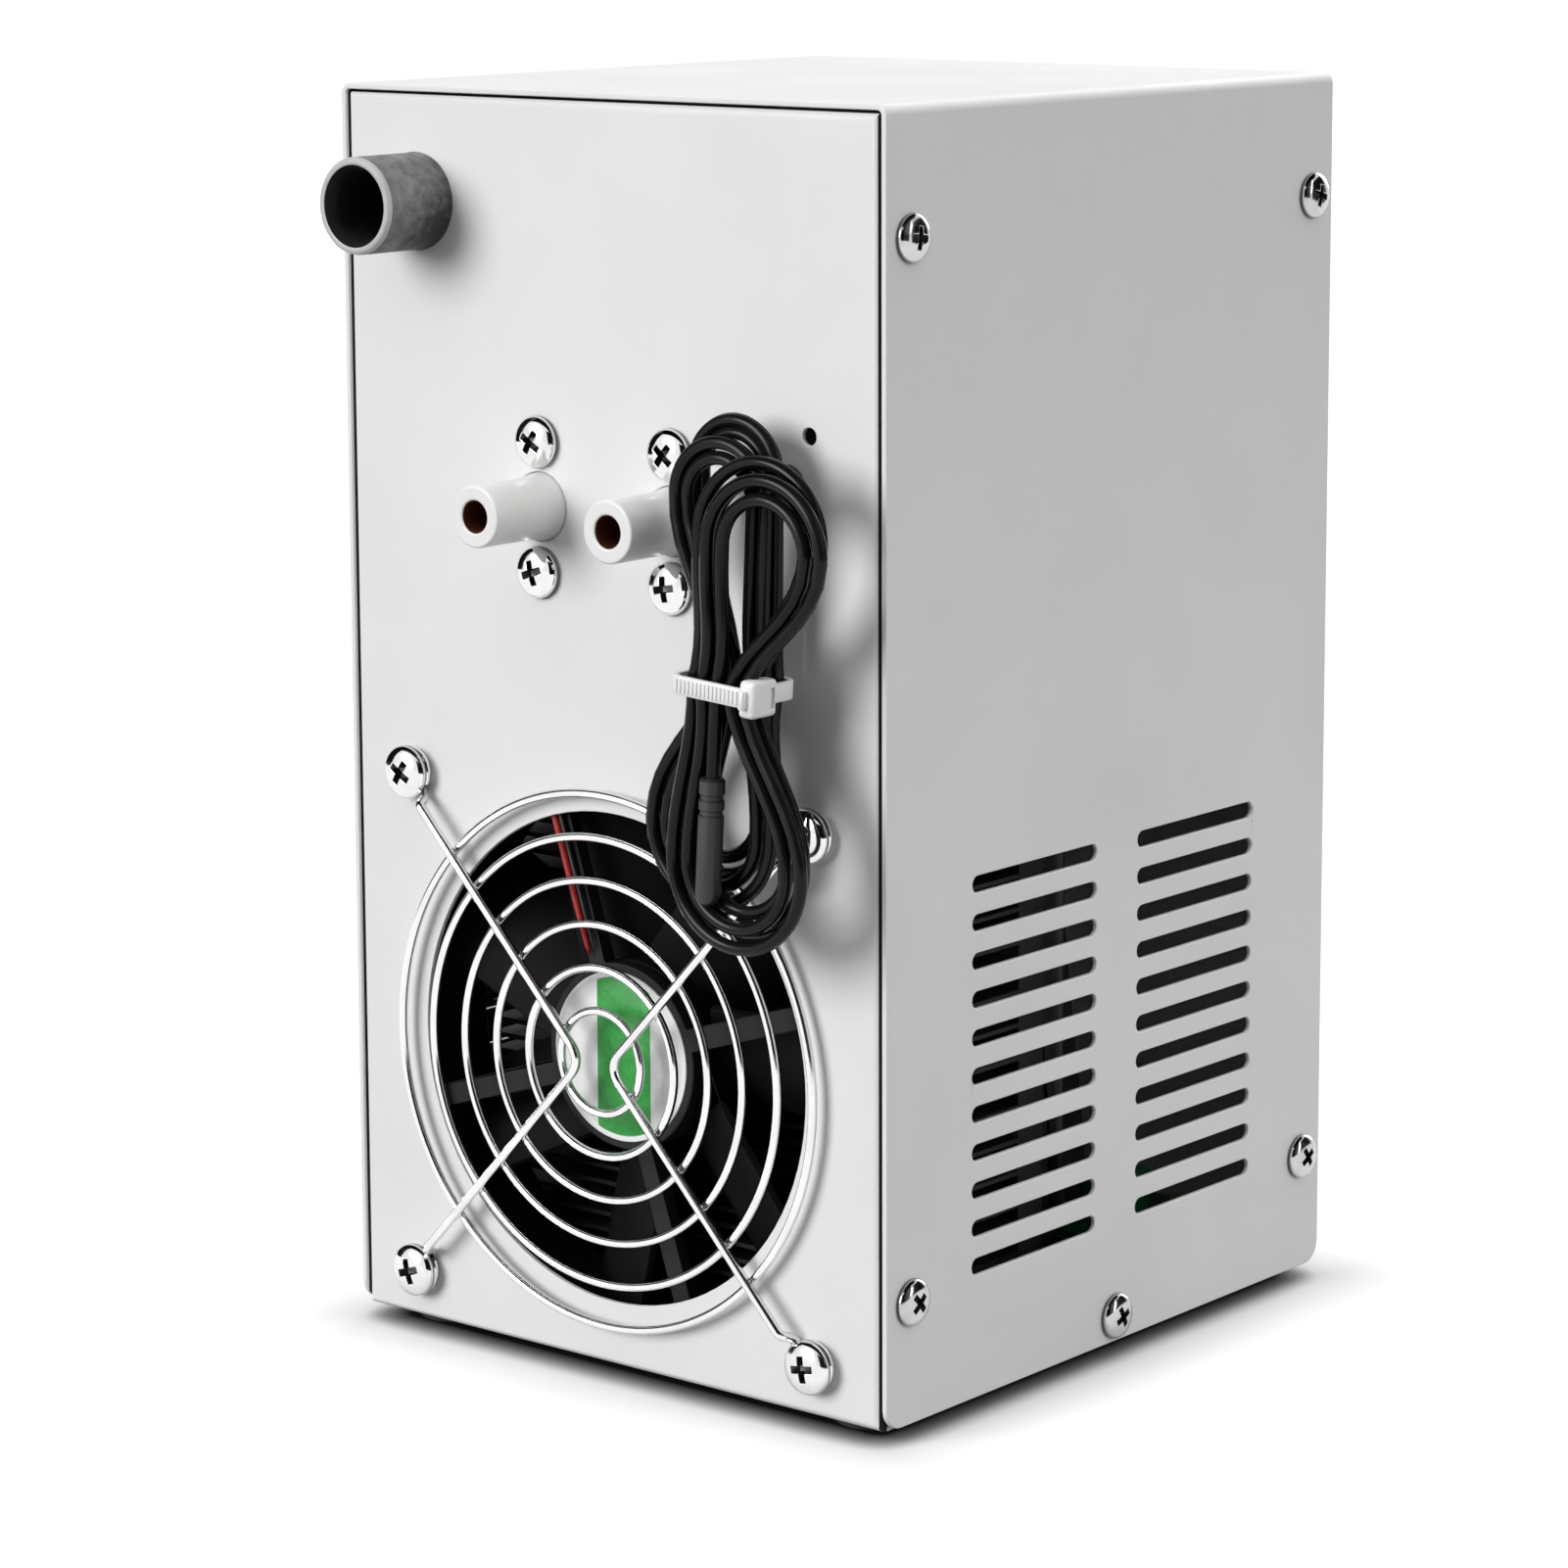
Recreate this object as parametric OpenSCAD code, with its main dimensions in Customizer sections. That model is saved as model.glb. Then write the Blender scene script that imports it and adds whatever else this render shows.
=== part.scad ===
// Aquarium chiller. A bent sheet case holds a fan behind a wire guard, a finned heat sink,
// thermoelectric modules, a drilled water block, two hose stubs and a thermostat with four
// push buttons. A probe lead hangs in a tied hank in front of the fan panel.
// The fan panel faces -Y, the slotted sides face -X and +X, and the feet stand at z = 0.
// Heights named z are measured from the underside of the case. The origin lies under the middle
// of the whole depth, from the stubs' mouths to the buttons, so the case stands at mid_y.

/* [Case] */
// Width across the cover
case_w = 140; // [134:0.5:180]
// Depth from the fan panel to the front panel
case_d = 150; // [146:0.5:200]
// Height without the feet
case_h = 255; // [245:0.5:300]
// Sheet thickness
sheet = 1.2; // [0.8:0.1:1.6]
// Gap between the cover and the chassis
seam = 0.3; // [0.2:0.05:0.6]
// Outer radius of the chassis bends
bend_r = 2; // [1.8:0.1:3]
// Outer radius of the two top bends of the cover
cover_bend_r = 2.2; // [1.6:0.1:2.2]
// Radius of the lower corners of the cover's sides
cover_corner_r = 4.5; // [1:0.5:8]
// Height of the cover's lower edge
cover_lift = 0.4; // [0.2:0.1:2]
// Width of the flanges that are bent back from both panels
flange_w = 15; // [13:0.5:20]
// Height of the base's side flanges
base_flange_h = 12; // [11:0.5:16]

/* [Cover screws] */
// Distance from the screws to the panels
screw_edge = 7.5; // [6.5:0.5:8.5]
// Distance from the screws to the top and to the bottom
screw_end = 25; // [15:1:40]
// Height of the middle screw
screw_mid_z = 6; // [5.5:0.1:6.5]
// Thread diameter
cover_screw_d = 4; // [3:0.1:4.2]
// Screw length under the head
cover_screw_len = 8; // [6:0.5:8.5]
// Head diameter
cover_head_d = 9.4; // [7:0.2:10]
// Head height
cover_head_h = 2.4; // [1.5:0.1:3]
// Outer diameter of a rivet nut
rivet_nut_d = 6.6; // [5.6:0.1:7]
// Length of a rivet nut
rivet_nut_len = 4.6; // [3:0.1:5]

/* [Vent slots] */
// Slot length
slot_len = 41; // [20:0.5:46]
// Slot height
slot_h = 3.4; // [2:0.1:5]
// Distance from row to row
slot_pitch = 7.65; // [6:0.05:9]
// Number of rows
slot_rows = 11; // [4:1:14]
// Gap between the two columns
slot_gap = 14; // [6:1:20]
// Height of the lowest row
slot_z = 27; // [20:0.5:50]

/* [Feet] */
// Foot diameter
foot_d = 16; // [10:0.5:20]
// Foot height
foot_h = 3; // [2.5:0.1:8]
// Distance from the feet to the case's edges
foot_inset = 14; // [12:0.5:20]
// Stem diameter of a foot
foot_stem_d = 5; // [3:0.1:6]
// Collar height of a foot above the base
foot_collar_h = 1.6; // [1:0.1:1.8]

/* [Fan] */
// Distance from the fan frame to the case's sides
fan_side = 10; // [9.5:0.5:20]
// Depth of the fan frame
fan_depth = 25; // [24:0.5:27]
// Distance from the mounting holes to the frame's edges
fan_hole_edge = 7.5; // [7:0.1:8]
// Height of the frame's lower edge
fan_lift = 3.3; // [2:0.1:8]
// Distance from the round opening in the panel to the frame's edges
opening_edge = 10; // [9.5:0.5:20]
// Least wall of the frame round its bore
fan_rim = 2.2; // [2:0.1:5]
// Thickness of the frame's two end flanges
fan_flange_t = 4; // [3:0.5:5]
// Corner radius of the frame
fan_corner_r = 5; // [2:0.5:6]
// Gap between the blade tips and the bore
tip_gap = 1.3; // [0.8:0.1:3]
// Number of blades
blades = 7; // [3:1:9]
// Hub diameter
hub_d = 38; // [36:0.5:44]
// Hub plate thickness, also of the struts
hub_t = 3; // [2:0.1:4]
// Depth of the hub plate's face behind the frame's face
hub_recess = 2; // [1.6:0.1:3]
// Width of a strut
strut_w = 4.5; // [3.6:0.1:6]
// Angle of the first strut
strut_angle = 108; // [96:1:130]
// Shaft diameter
shaft_d = 3; // [2:0.1:4]
// Running clearance of the shaft, radial
shaft_gap = 0.05; // [0.02:0.01:0.08]
// Outer diameter of a bearing
bearing_d = 8; // [6.5:0.1:9]
// Length of a bearing
bearing_len = 4; // [2:0.1:4.5]
// Wall of the bearing tube
bearing_wall = 1; // [0.8:0.1:1.4]
// Label diameter
label_d = 34.6; // [20:0.2:36]
// Label thickness
label_t = 0.3; // [0.1:0.05:0.5]
// Diameter of a fan lead
fan_lead_d = 1.2; // [0.8:0.1:1.4]

/* [Fan guard] */
// Diameter of the inner ring
ring_first_d = 20.8; // [16:0.2:24]
// Distance from the outer ring to the frame's edges
ring_edge = 5.8; // [5:0.1:8]
// Number of rings
rings = 6; // [3:1:6]
// Wire diameter of the rings
ring_wire = 1.3; // [1:0.1:1.6]
// Wire diameter of the spokes
spoke_wire = 1.6; // [1.2:0.1:2]
// Height of the rings' plane above the panel
guard_stand = 3.4; // [3:0.1:3.6]
// Distance from the fan's axis to each spoke's bend
spoke_gap = 3.5; // [2:0.1:5]
// Length of the step at each spoke's end
spoke_step = 5; // [4:0.1:6]
// Thread diameter of the guard screws
guard_screw_d = 4.2; // [3.5:0.1:4.4]
// Length of the guard screws
guard_screw_len = 16; // [10:0.5:20]
// Head diameter of the guard screws
guard_head_d = 11; // [9:0.1:11.4]
// Head height of the guard screws
guard_head_h = 3; // [2:0.1:3.6]

/* [Hose stubs] */
// Distance between the stubs
stub_pitch = 34.5; // [28:0.5:40]
// Height of the stubs
stub_z = 173; // [165:0.5:180]
// Outer diameter of a stub
stub_d = 12.4; // [10:0.1:13]
// Length of a stub outside the panel
stub_len = 19; // [14:0.5:24]
// Diameter of a stub at its root
stub_root_d = 13.6; // [13.2:0.1:14.4]
// Length of the taper at the root
stub_root_len = 2.5; // [1:0.1:4]
// Bore of a stub
stub_bore_d = 6.4; // [4:0.1:7]
// Width of the flange behind the panel
stub_flange_w = 20; // [17:0.5:24]
// Height of the flange behind the panel
stub_flange_h = 38; // [36:0.5:42]
// Thickness of the flange
stub_flange_t = 3; // [2:0.1:4]
// Distance between the two screws of a stub
stub_screw_pitch = 26; // [25.6:0.1:28]
// Thread diameter of the stub screws
stub_screw_d = 5; // [4:0.1:5.2]
// Head diameter of the stub screws
stub_head_d = 10.5; // [8:0.1:11]
// Head height of the stub screws
stub_head_h = 3; // [2:0.1:4]
// Nut height
stub_nut_h = 4; // [3:0.1:4.5]
// Nut width across its corners
stub_nut_d = 9.2; // [8.4:0.1:9.6]

/* [Water path] */
// Outer diameter of the nipples
nipple_d = 8.6; // [8:0.1:9.2]
// Bore of the nipples and of the block
channel_d = 6; // [4:0.1:6.6]
// Length of a nipple
nipple_len = 14; // [11:0.5:18]
// Depth of a nipple in the block
nipple_seat = 6; // [4:0.5:8]
// Outer diameter of an inner hose
hose_d = 12.6; // [11.8:0.1:13.4]
// Bend radius of an inner hose
hose_bend_r = 22; // [18:0.5:26]
// Width of a hose clip
clip_w = 6; // [4:0.5:8]
// Thickness of a hose clip
clip_t = 0.9; // [0.6:0.1:1.2]
// Width of the block
block_w = 60; // [56:0.5:66]
// Height of the block
block_h = 92; // [88:0.5:96]
// Thickness of the block
block_t = 16; // [13:0.5:18]
// Distance from the clamp screws to the block's edges
clamp_inset = 5.5; // [5.2:0.1:6]
// Thread diameter of the clamp screws
clamp_screw_d = 4; // [3:0.1:4.4]
// Depth of the clamp screws in the heat sink
clamp_depth = 6; // [4:0.5:7]
// Wall of the insulation cap
foam_t = 8; // [5:0.5:9]

/* [Heat sink] */
// Distance from the heat sink to the case's sides
sink_side = 12; // [10:1:20]
// Height of the heat sink
sink_h = 114; // [104:1:116]
// Height of the heat sink's middle
sink_z = 63.3; // [62:0.1:66]
// Room for the leads between the insulation and the power board
lead_room = 6.8; // [4:0.1:10]
// Thickness of the base plate
sink_base = 8; // [7.5:0.5:10]
// Fin thickness
fin_t = 1; // [0.6:0.1:1.5]
// Distance from fin to fin
fin_pitch = 3.4; // [3:0.1:6]
// Gap between the fan and the fins
sink_gap = 2; // [1:0.5:4]
// Side of a thermoelectric module
module_size = 40; // [36:0.5:42]
// Thickness of a module
module_t = 3.8; // [3.2:0.1:4.8]
// Gap between the modules
module_gap = 2; // [1:0.5:4]
// Width of a bracket
bracket_w = 14; // [12:0.5:18]
// Height of a bracket
bracket_h = 26; // [22:0.5:30]
// Length of a bracket's foot
bracket_foot = 14; // [12:0.5:18]
// Thickness of a bracket
bracket_t = 2; // [1.5:0.1:3]
// Distance from a bracket's middle to halfway between block and heat sink sides
bracket_shift = 2; // [0:0.5:4]
// Thread diameter of the bracket screws
bracket_screw_d = 3; // [2.5:0.1:3.4]

/* [Thermostat] */
// Distance from the case's top to the thermostat's middle
thermo_drop = 55; // [45:1:65]
// Overhang of the bezel at its sides
bezel_rim = 3.5; // [2.5:0.5:5.5]
// Height of the bezel
bezel_h = 35; // [33:0.5:40]
// Thickness of the bezel
bezel_t = 3.5; // [3:0.1:5]
// Width of the body behind the panel
thermo_w = 71; // [69:0.5:73]
// Height of the body behind the panel
thermo_h = 29; // [28:0.5:31]
// Length of the body behind the panel
thermo_len = 42; // [34:0.5:44]
// Wall of the body
thermo_wall = 1.8; // [1.2:0.1:2]
// Width of the body less that of the display window
window_rest = 29; // [27:0.5:35]
// Height of the display window
window_h = 20; // [16:0.5:22]
// Thickness of the window
window_t = 1.5; // [1:0.1:2]
// Distance from the bezel's middle to the window's middle
window_shift = 13; // [12:0.5:14]
// Diameter of a push button
key_d = 8; // [6:0.1:9]
// Height of a button above the bezel
key_proud = 1.4; // [1.1:0.1:2]
// Travel of a button
key_travel = 0.8; // [0.3:0.1:0.9]
// Distance between the buttons' columns
key_pitch_x = 12.5; // [12:0.1:13]
// Distance between the buttons' rows
key_pitch_y = 13; // [12:0.1:13.5]
// Distance from the body's side to the middle of the buttons
key_edge = 13.5; // [13.3:0.1:14]
// Depth of the control board behind the panel's face
board_depth = 12; // [11:0.5:14]
// Thickness of the circuit boards
board_t = 1.6; // [1:0.1:2]

/* [Power inlet] */
// Distance from the case's side to the sleeve's middle
sleeve_edge = 20.5; // [18:0.5:26]
// Distance from the case's top to the sleeve's middle
sleeve_drop = 23; // [18:0.5:30]
// Outer diameter of the sleeve
sleeve_d = 19.3; // [17:0.1:22]
// Bore of the sleeve
sleeve_bore_d = 14; // [13.2:0.1:15]
// Length of the sleeve
sleeve_len = 18; // [10:0.5:26]
// Collar diameter at the sleeve's foot
sleeve_collar_d = 20.8; // [20:0.1:24]
// Length of the collar
sleeve_collar_len = 3; // [2:0.5:6]
// Diameter of the socket's barrel
socket_d = 11; // [9.5:0.1:11.6]
// Length of the socket behind the panel
socket_len = 14; // [10:0.5:18]
// Bore of the socket
socket_bore_d = 5.6; // [5:0.1:6.5]
// Pin diameter of the socket
socket_pin_d = 2.1; // [1.5:0.1:2.5]

/* [Power board] */
// Width of the power board
power_board_d = 36; // [34:0.5:38]
// Distance from the power board to the front panel
power_board_gap = 8; // [4:0.5:10]
// Height of the standoffs
standoff_h = 8; // [5:0.5:12]
// Diameter of the standoffs
standoff_d = 6; // [5:0.5:7]
// Width and depth of the relay
relay_size = [19, 15];
// Height of the relay
relay_h = 15; // [10:0.5:20]
// Diameter of the capacitor
cap_d = 12.5; // [8:0.5:16]
// Height of the capacitor
cap_h = 22; // [12:0.5:30]
// Width and depth of the terminals
terminal_size = [36, 9];
// Height of the terminals
terminal_h = 10; // [8:0.5:14]

/* [Sensor lead] */
// Diameter of the sensor cord
cord_d = 2.8; // [2:0.1:2.8]
// Middle of the hank's waist from the case's middle
hank_x = 45; // [43:0.5:48]
// Height of the hank's waist
hank_z = 145.5; // [144:0.5:148]
// Lean of the hank in degrees
hank_lean = 3.5; // [0:0.5:6]
// Depth of the first layer in front of the panel
hank_stand = 9; // [9:0.5:12]
// Number of loops
hank_loops = 8; // [4:2:8]
// Number of loops in a layer
hank_layer_loops = 2; // [2:1:2]
// Distance from layer to layer
layer_pitch = 3.3; // [3.2:0.05:4]
// Distance from loop to loop in a layer
loop_step = 3.5; // [3.45:0.05:3.6]
// Radius of the outer fold
fold_r = 15.6; // [15.4:0.1:18]
// Half the length of a run between the folds
run_half = 35; // [34:0.5:40]
// Half the width of the waist
waist_half = 7.75; // [7.75:0.05:9]
// Length of the hank's last end below the waist
hank_lead_out = 17; // [12:1:18]
// Width of the cable tie's strap
tie_w = 3.7; // [2.5:0.1:5]
// Thickness of the strap
tie_t = 1.2; // [0.8:0.1:1.6]
// Gap between the strap and the cords
tie_gap = 0.35; // [0.2:0.05:0.5]
// Sides of the tie's head, back and along the cords and outwards
tie_head = [6.4, 7.2, 3.8];
// Probe diameter
probe_d = 5; // [4:0.1:5.2]
// Probe length
probe_len = 25; // [18:0.5:25]
// Diameter of the grommet's flange
grommet_d = 8; // [7:0.1:9]
// Diameter of the grommet in the panel
grommet_neck_d = 5.4; // [4:0.1:6]
// Diameter of the spare hole beside the hank
spare_hole_d = 3.4; // [2:0.1:4]
// Distance from the case's middle to the spare hole
spare_hole_x = 51.5; // [51:0.5:56]
// Height of the spare hole
spare_hole_z = 192; // [190:0.5:200]

/* [Hidden] */
$fn = 48;

// One overrun serves all cuts
over = 0.5;
// Clearance round a screw or a barrel in its hole, on the diameter
hole_gap = 0.4;
// Clearance between parts that slide or are slipped together
slip_gap = 0.25;
// Clearance of a press seat, radial
seat_gap = 0.03;
// Depth and width of a cross recess
recess_t = 1.2;
recess_w = 1.1;

// Case
mid_y = (max(stub_len, sleeve_len) - bezel_t - key_proud) / 2;
panel_y = mid_y - case_d / 2;
front_y = mid_y + case_d / 2;
chassis_w = case_w - 2 * (sheet + seam);
chassis_h = case_h - sheet - seam;
cover_screw_places = concat(
    [for (s = [-1, 1], z = [screw_end, case_h - screw_end]) [s * (case_d / 2 - screw_edge), z]],
    [[0, screw_mid_z]]);
slot_x = (slot_gap + slot_len) / 2;
foot_x = case_w / 2 - foot_inset;
foot_y = case_d / 2 - foot_inset;
foot_collar_d = foot_stem_d + 2 * hole_gap;

// Fan, with its depth counted from the back face of its frame
fan_size = case_w - 2 * fan_side;
fan_pitch = fan_size - 2 * fan_hole_edge;
opening_d = fan_size - 2 * opening_edge;
fan_bore_d = fan_size - 2 * fan_rim;
fan_z = fan_lift + fan_size / 2;
fan_front_y = panel_y + sheet;
fan_back_y = fan_front_y + fan_depth;
fan_hole_d = guard_screw_d + slip_gap;
plate_top = fan_depth - hub_recess;
plate_low = plate_top - hub_t;
rotor_low = 1;
rotor_gap = 1;
rotor_top = plate_low - rotor_gap;
cup_wall = 1.8;
cup_floor = 2;
boss_d = shaft_d + 2 * cup_floor;
boss_len = 3;
blade_t = 1.5;
blade_chord = 27;
blade_arc_r = 34;
blade_pitch = 33;
blade_root = 0.6;
tube_d = bearing_d + 2 * (seat_gap + bearing_wall);
tube_low = rotor_low + cup_floor + boss_len + rotor_gap;
stator_d = 26;
stator_len = 7;
stator_low = tube_low + rotor_gap + seat_gap;
pole_w = 6;
pole_tip = 1.5;
magnet_t = 2.2;
magnet_len = 11;
lead_gap = 0.3;
lead_notch_w = 2 * fan_lead_d + 4 * lead_gap;

// Guard, with its height counted from the panel's outer face
spoke_plane = guard_stand + (ring_wire + spoke_wire) / 2 - 0.1 * ring_wire;
joint_share = 1.1;
eye_r = (guard_screw_d + spoke_wire) / 2 + slip_gap;
eye_wire = spoke_wire * joint_share;
eye_z = eye_wire / 2 + seat_gap;
guard_half = fan_pitch / 2;
ring_pitch = (fan_size - 2 * ring_edge - ring_first_d) / 2 / (rings - 1);

// Leads inside the case
lead_d = 4;
module_lead_d = 1.8;
lead_turn = 6;
lead_sides = 6;

// Heat sink, modules and block, from the fan backwards
sink_w = case_w - 2 * sink_side;
fin_len = case_d - 2 * sheet - fan_depth - sink_gap - sink_base - module_t - block_t - foam_t
    - lead_d - lead_room - power_board_d - power_board_gap;
sink_y = fan_back_y + sink_gap;
sink_back_y = sink_y + fin_len + sink_base;
block_y = sink_back_y + module_t;
block_mid_y = block_y + block_t / 2;
block_back_y = block_y + block_t;
block_top_z = sink_z + block_h / 2;
block_low_z = sink_z - block_h / 2;
fins = floor((sink_h - fin_t) / fin_pitch) + 1;
module_step = (module_size + module_gap) / 2;
clamp_x = block_w / 2 - clamp_inset;
clamp_z = block_h / 2 - clamp_inset;
clamp_head_d = 7;
clamp_head_h = 2.6;
clamp_len = block_t + module_t + clamp_depth;
bracket_x = (sink_w + block_w) / 4 + bracket_shift;
bracket_head_d = 5.6;
bracket_head_h = 1.8;
bracket_hole_y = sink_back_y + bracket_t + (bracket_foot - bracket_t) / 2;
bracket_hole_z = bracket_h - (bracket_h - bracket_t) / 4;

// Water path
stub_back_y = panel_y + sheet + stub_flange_t;
hose_turn_y = block_mid_y - hose_bend_r;
hose_turn_z = stub_z - hose_bend_r;
hose_bore_d = nipple_d + 2 * seat_gap;
hose_end_gap = 0.5;
clip_seat = stub_nut_h + hole_gap;
clip_ear = 4;
clip_lock_w = 2.4;

// Thermostat, with its depth counted from the front panel's outer face
thermo_z = case_h - thermo_drop;
key_rim = 1.2;
key_rim_t = 1;
key_wall = 2;
key_stem_d = 3.2;
switch_size = 6;
switch_h = 4.3;
switch_grip = 1;
switch_bore = switch_grip + 2 * key_travel;
bezel_w = thermo_w + 2 * bezel_rim;
window_w = thermo_w - window_rest;
display_rest = 8;
display_w = window_w - display_rest;
display_h = 13;
window_lip = 2;
rib = 3;
lug = [5, 12, 18];
key_shift = thermo_w / 2 - key_edge;
key_places = [[key_shift - key_pitch_x / 2, key_pitch_y / 2],
    [key_shift + key_pitch_x / 2, key_pitch_y / 2],
    [key_shift - key_pitch_x / 2, -key_pitch_y / 2],
    [key_shift + key_pitch_x / 2, -key_pitch_y / 2]];

// Power inlet and board
sleeve_x = case_w / 2 - sleeve_edge;
sleeve_z = case_h - sleeve_drop;
socket_flange_t = 1.5;
sleeve_seat_t = 0.5;
sleeve_seat_d = sleeve_bore_d + 2 * sleeve_seat_t;
socket_nut_t = 3;
socket_nut_d = 15;
socket_depth_share = 0.75;
power_board_y = front_y - sheet - power_board_gap - power_board_d / 2;
power_board_z = sheet + standoff_h;
power_top_z = power_board_z + board_t;
standoff_inset = 4;
standoff_gap = 12;
standoff_x = foot_x - standoff_gap;
power_board_w = 2 * (standoff_x + standoff_inset);
relay_x = -28;
cap_x = -6;
terminal_x = 24;
terminal_y = power_board_y - terminal_size.y / 2;
terminal_z = foot_h + power_top_z + terminal_h / 2;
lead_back_y = block_back_y + foam_t + lead_d;

// Places of the leads along the terminals
module_lead_x = 10;
module_lead_step = 6;
control_lead_x = 32;
power_lead_x = 38;
sensor_lead_x = 20;

// Sensor lead, in the hank's own frame: x across, -y away from the panel, z up, from the waist
stations = 24;
run_steps = 4;
fold_steps = 8;
waist_draw = fold_r - waist_half;
hank_sides = 6;
hank_end_x = hank_layer_loops * loop_step - waist_half;
last_layer_y = -hank_stand - layer_pitch * (hank_loops / hank_layer_loops - 1);
tie_left = -waist_half - cord_d / 2 - tie_gap;
tie_right = waist_half - loop_step / 2 + cord_d / 2 + tie_gap;
tie_back = -hank_stand + cord_d / 2 + tie_gap;
tie_front = last_layer_y - cord_d / 2 - tie_gap;
tie_corner_r = 2;
grommet_t = 1.5;
exit_z = 37;
hank_lead_in = 28;

// Route of the sensor cord from the grommet's face to the hank, chosen by hand
cord_route = [[-0.75, -1.5, 37], [-0.75, -3, 37], [-0.75, -5.3, 36.5], [-0.75, -7.2, 35.2],
    [-0.75, -8.5, 33.3], [-0.75, -9, 31], [-0.75, -9, 29.5], [-0.75, -9, 28]];

// Frames

// Children lie on the fan panel's outer face with +Z outwards
module on_fan_panel(x, z) {
    translate([x, panel_y, foot_h + z]) rotate([90, 0, 0]) children();
}

// Children lie on the front panel's outer face with +Z outwards
module on_front_panel(x, z) {
    translate([x, front_y, foot_h + z]) rotate([90, 0, 180]) children();
}

// Children lie on the outer face of the side named by -1 or 1, with +Z outwards, y from mid_y
module on_side(side, y, z) {
    translate([side * case_w / 2, mid_y + y, foot_h + z]) rotate([90, 0, side * 90]) children();
}

// Children count their depth from the back face of the fan frame towards the panel
module in_fan() {
    on_fan_panel(0, fan_z) translate([0, 0, -sheet - fan_depth]) children();
}

// Children lie in the hank's own frame
module in_hank() {
    translate([hank_x, panel_y, foot_h + hank_z]) rotate([0, hank_lean, 0]) children();
}

// Flat shapes

module rounded_rect(w, h, r) {
    square([w, h - 2 * r], center = true);
    square([w - 2 * r, h], center = true);
    for (x = [-1, 1], y = [-1, 1]) translate([x * (w / 2 - r), y * (h / 2 - r)]) circle(r);
}

// Upright outline with its two upper corners rounded and its lower edge on y = 0
module arch(w, h, r) {
    translate([-w / 2, 0]) square([w, h - r]);
    translate([r - w / 2, 0]) square([w - 2 * r, h]);
    for (x = [-1, 1]) translate([x * (w / 2 - r), h - r]) circle(r);
}

module slot(len, h) {
    square([len - h, h], center = true);
    for (x = [-1, 1]) translate([x * (len - h) / 2, 0]) circle(d = h);
}

// Solid shapes

// Screw with its head's seat on z = 0, its head above and its thread below
module pan_screw(head_d, head_h, thread_d, len) {
    dome_r = (head_d * head_d / 4 + head_h * head_h) / (2 * head_h);
    difference() {
        intersection() {
            cylinder(d = head_d, h = head_h);
            translate([0, 0, head_h - dome_r]) sphere(dome_r);
        }
        for (a = [0, 90]) rotate(a)
            translate([-head_d / 4, -recess_w / 2, head_h - recess_t])
                cube([head_d / 2, recess_w, recess_t + over]);
    }
    translate([0, 0, -len]) cylinder(d = thread_d, h = len);
}

module ring(outer_d, inner_d, h) {
    difference() {
        cylinder(d = outer_d, h = h);
        translate([0, 0, -over]) cylinder(d = inner_d, h = h + 2 * over);
    }
}

// Round rod between two points
module rod(a, b, d) {
    v = b - a;
    translate(a) rotate([0, acos(v.z / norm(v)), atan2(v.y, v.x)]) cylinder(d = d, h = norm(v));
}

// Sheet box, bent at its upright and lower edges
module bent_block(w, d, h, r) {
    intersection() {
        linear_extrude(h) rounded_rect(w, d, r);
        translate([0, 0, h / 2]) rotate([90, 0, 90])
            linear_extrude(w, center = true) rounded_rect(d, h, r);
    }
}

// Swept tubes

function unit(v) = v / norm(v);
function tangent(p, i) = unit(p[min(i + 1, len(p) - 1)] - p[max(i - 1, 0)]);
function side_of(t) = unit(cross(t, abs(t.y) < 0.9 ? [0, 1, 0] : [1, 0, 0]));
// One normal for each point, carried along the path without twist
function normals(p) = [for (i = 0, t = tangent(p, 0), n = side_of(t); i < len(p);
    i = i + 1, t = tangent(p, i), n = unit(n - (n * t) * t)) n];

// Tube of d along the points p, with its ends square to its path
module tube(p, d, sides) {
    n = normals(p);
    last = (len(p) - 1) * sides;
    polyhedron(
        points = [for (i = [0:len(p) - 1], k = [0:sides - 1])
            let (a = 360 * k / sides, b = cross(tangent(p, i), n[i]))
            p[i] + d / 2 * (cos(a) * n[i] + sin(a) * b)],
        faces = concat(
            [for (i = [0:len(p) - 2], k = [0:sides - 1]) let (q = i * sides, m = (k + 1) % sides)
                each [[q + k, q + sides + k, q + sides + m], [q + k, q + sides + m, q + m]]],
            [for (k = [1:sides - 2]) [0, k, k + 1]],
            [for (k = [1:sides - 2]) [last, last + k + 1, last + k]]));
}

// Points of a corner that is rounded by r on both sides of b
function corner(a, b, c, r) = [for (i = [0:3]) let (t = i / 3)
    (1 - t) * (1 - t) * (b + r * unit(a - b)) + 2 * t * (1 - t) * b + t * t * (b + r * unit(c - b))];
function routed(p, r) = [p[0],
    each [for (i = [1:len(p) - 2]) each corner(p[i - 1], p[i], p[i + 1], r)], p[len(p) - 1]];

// Case

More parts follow.
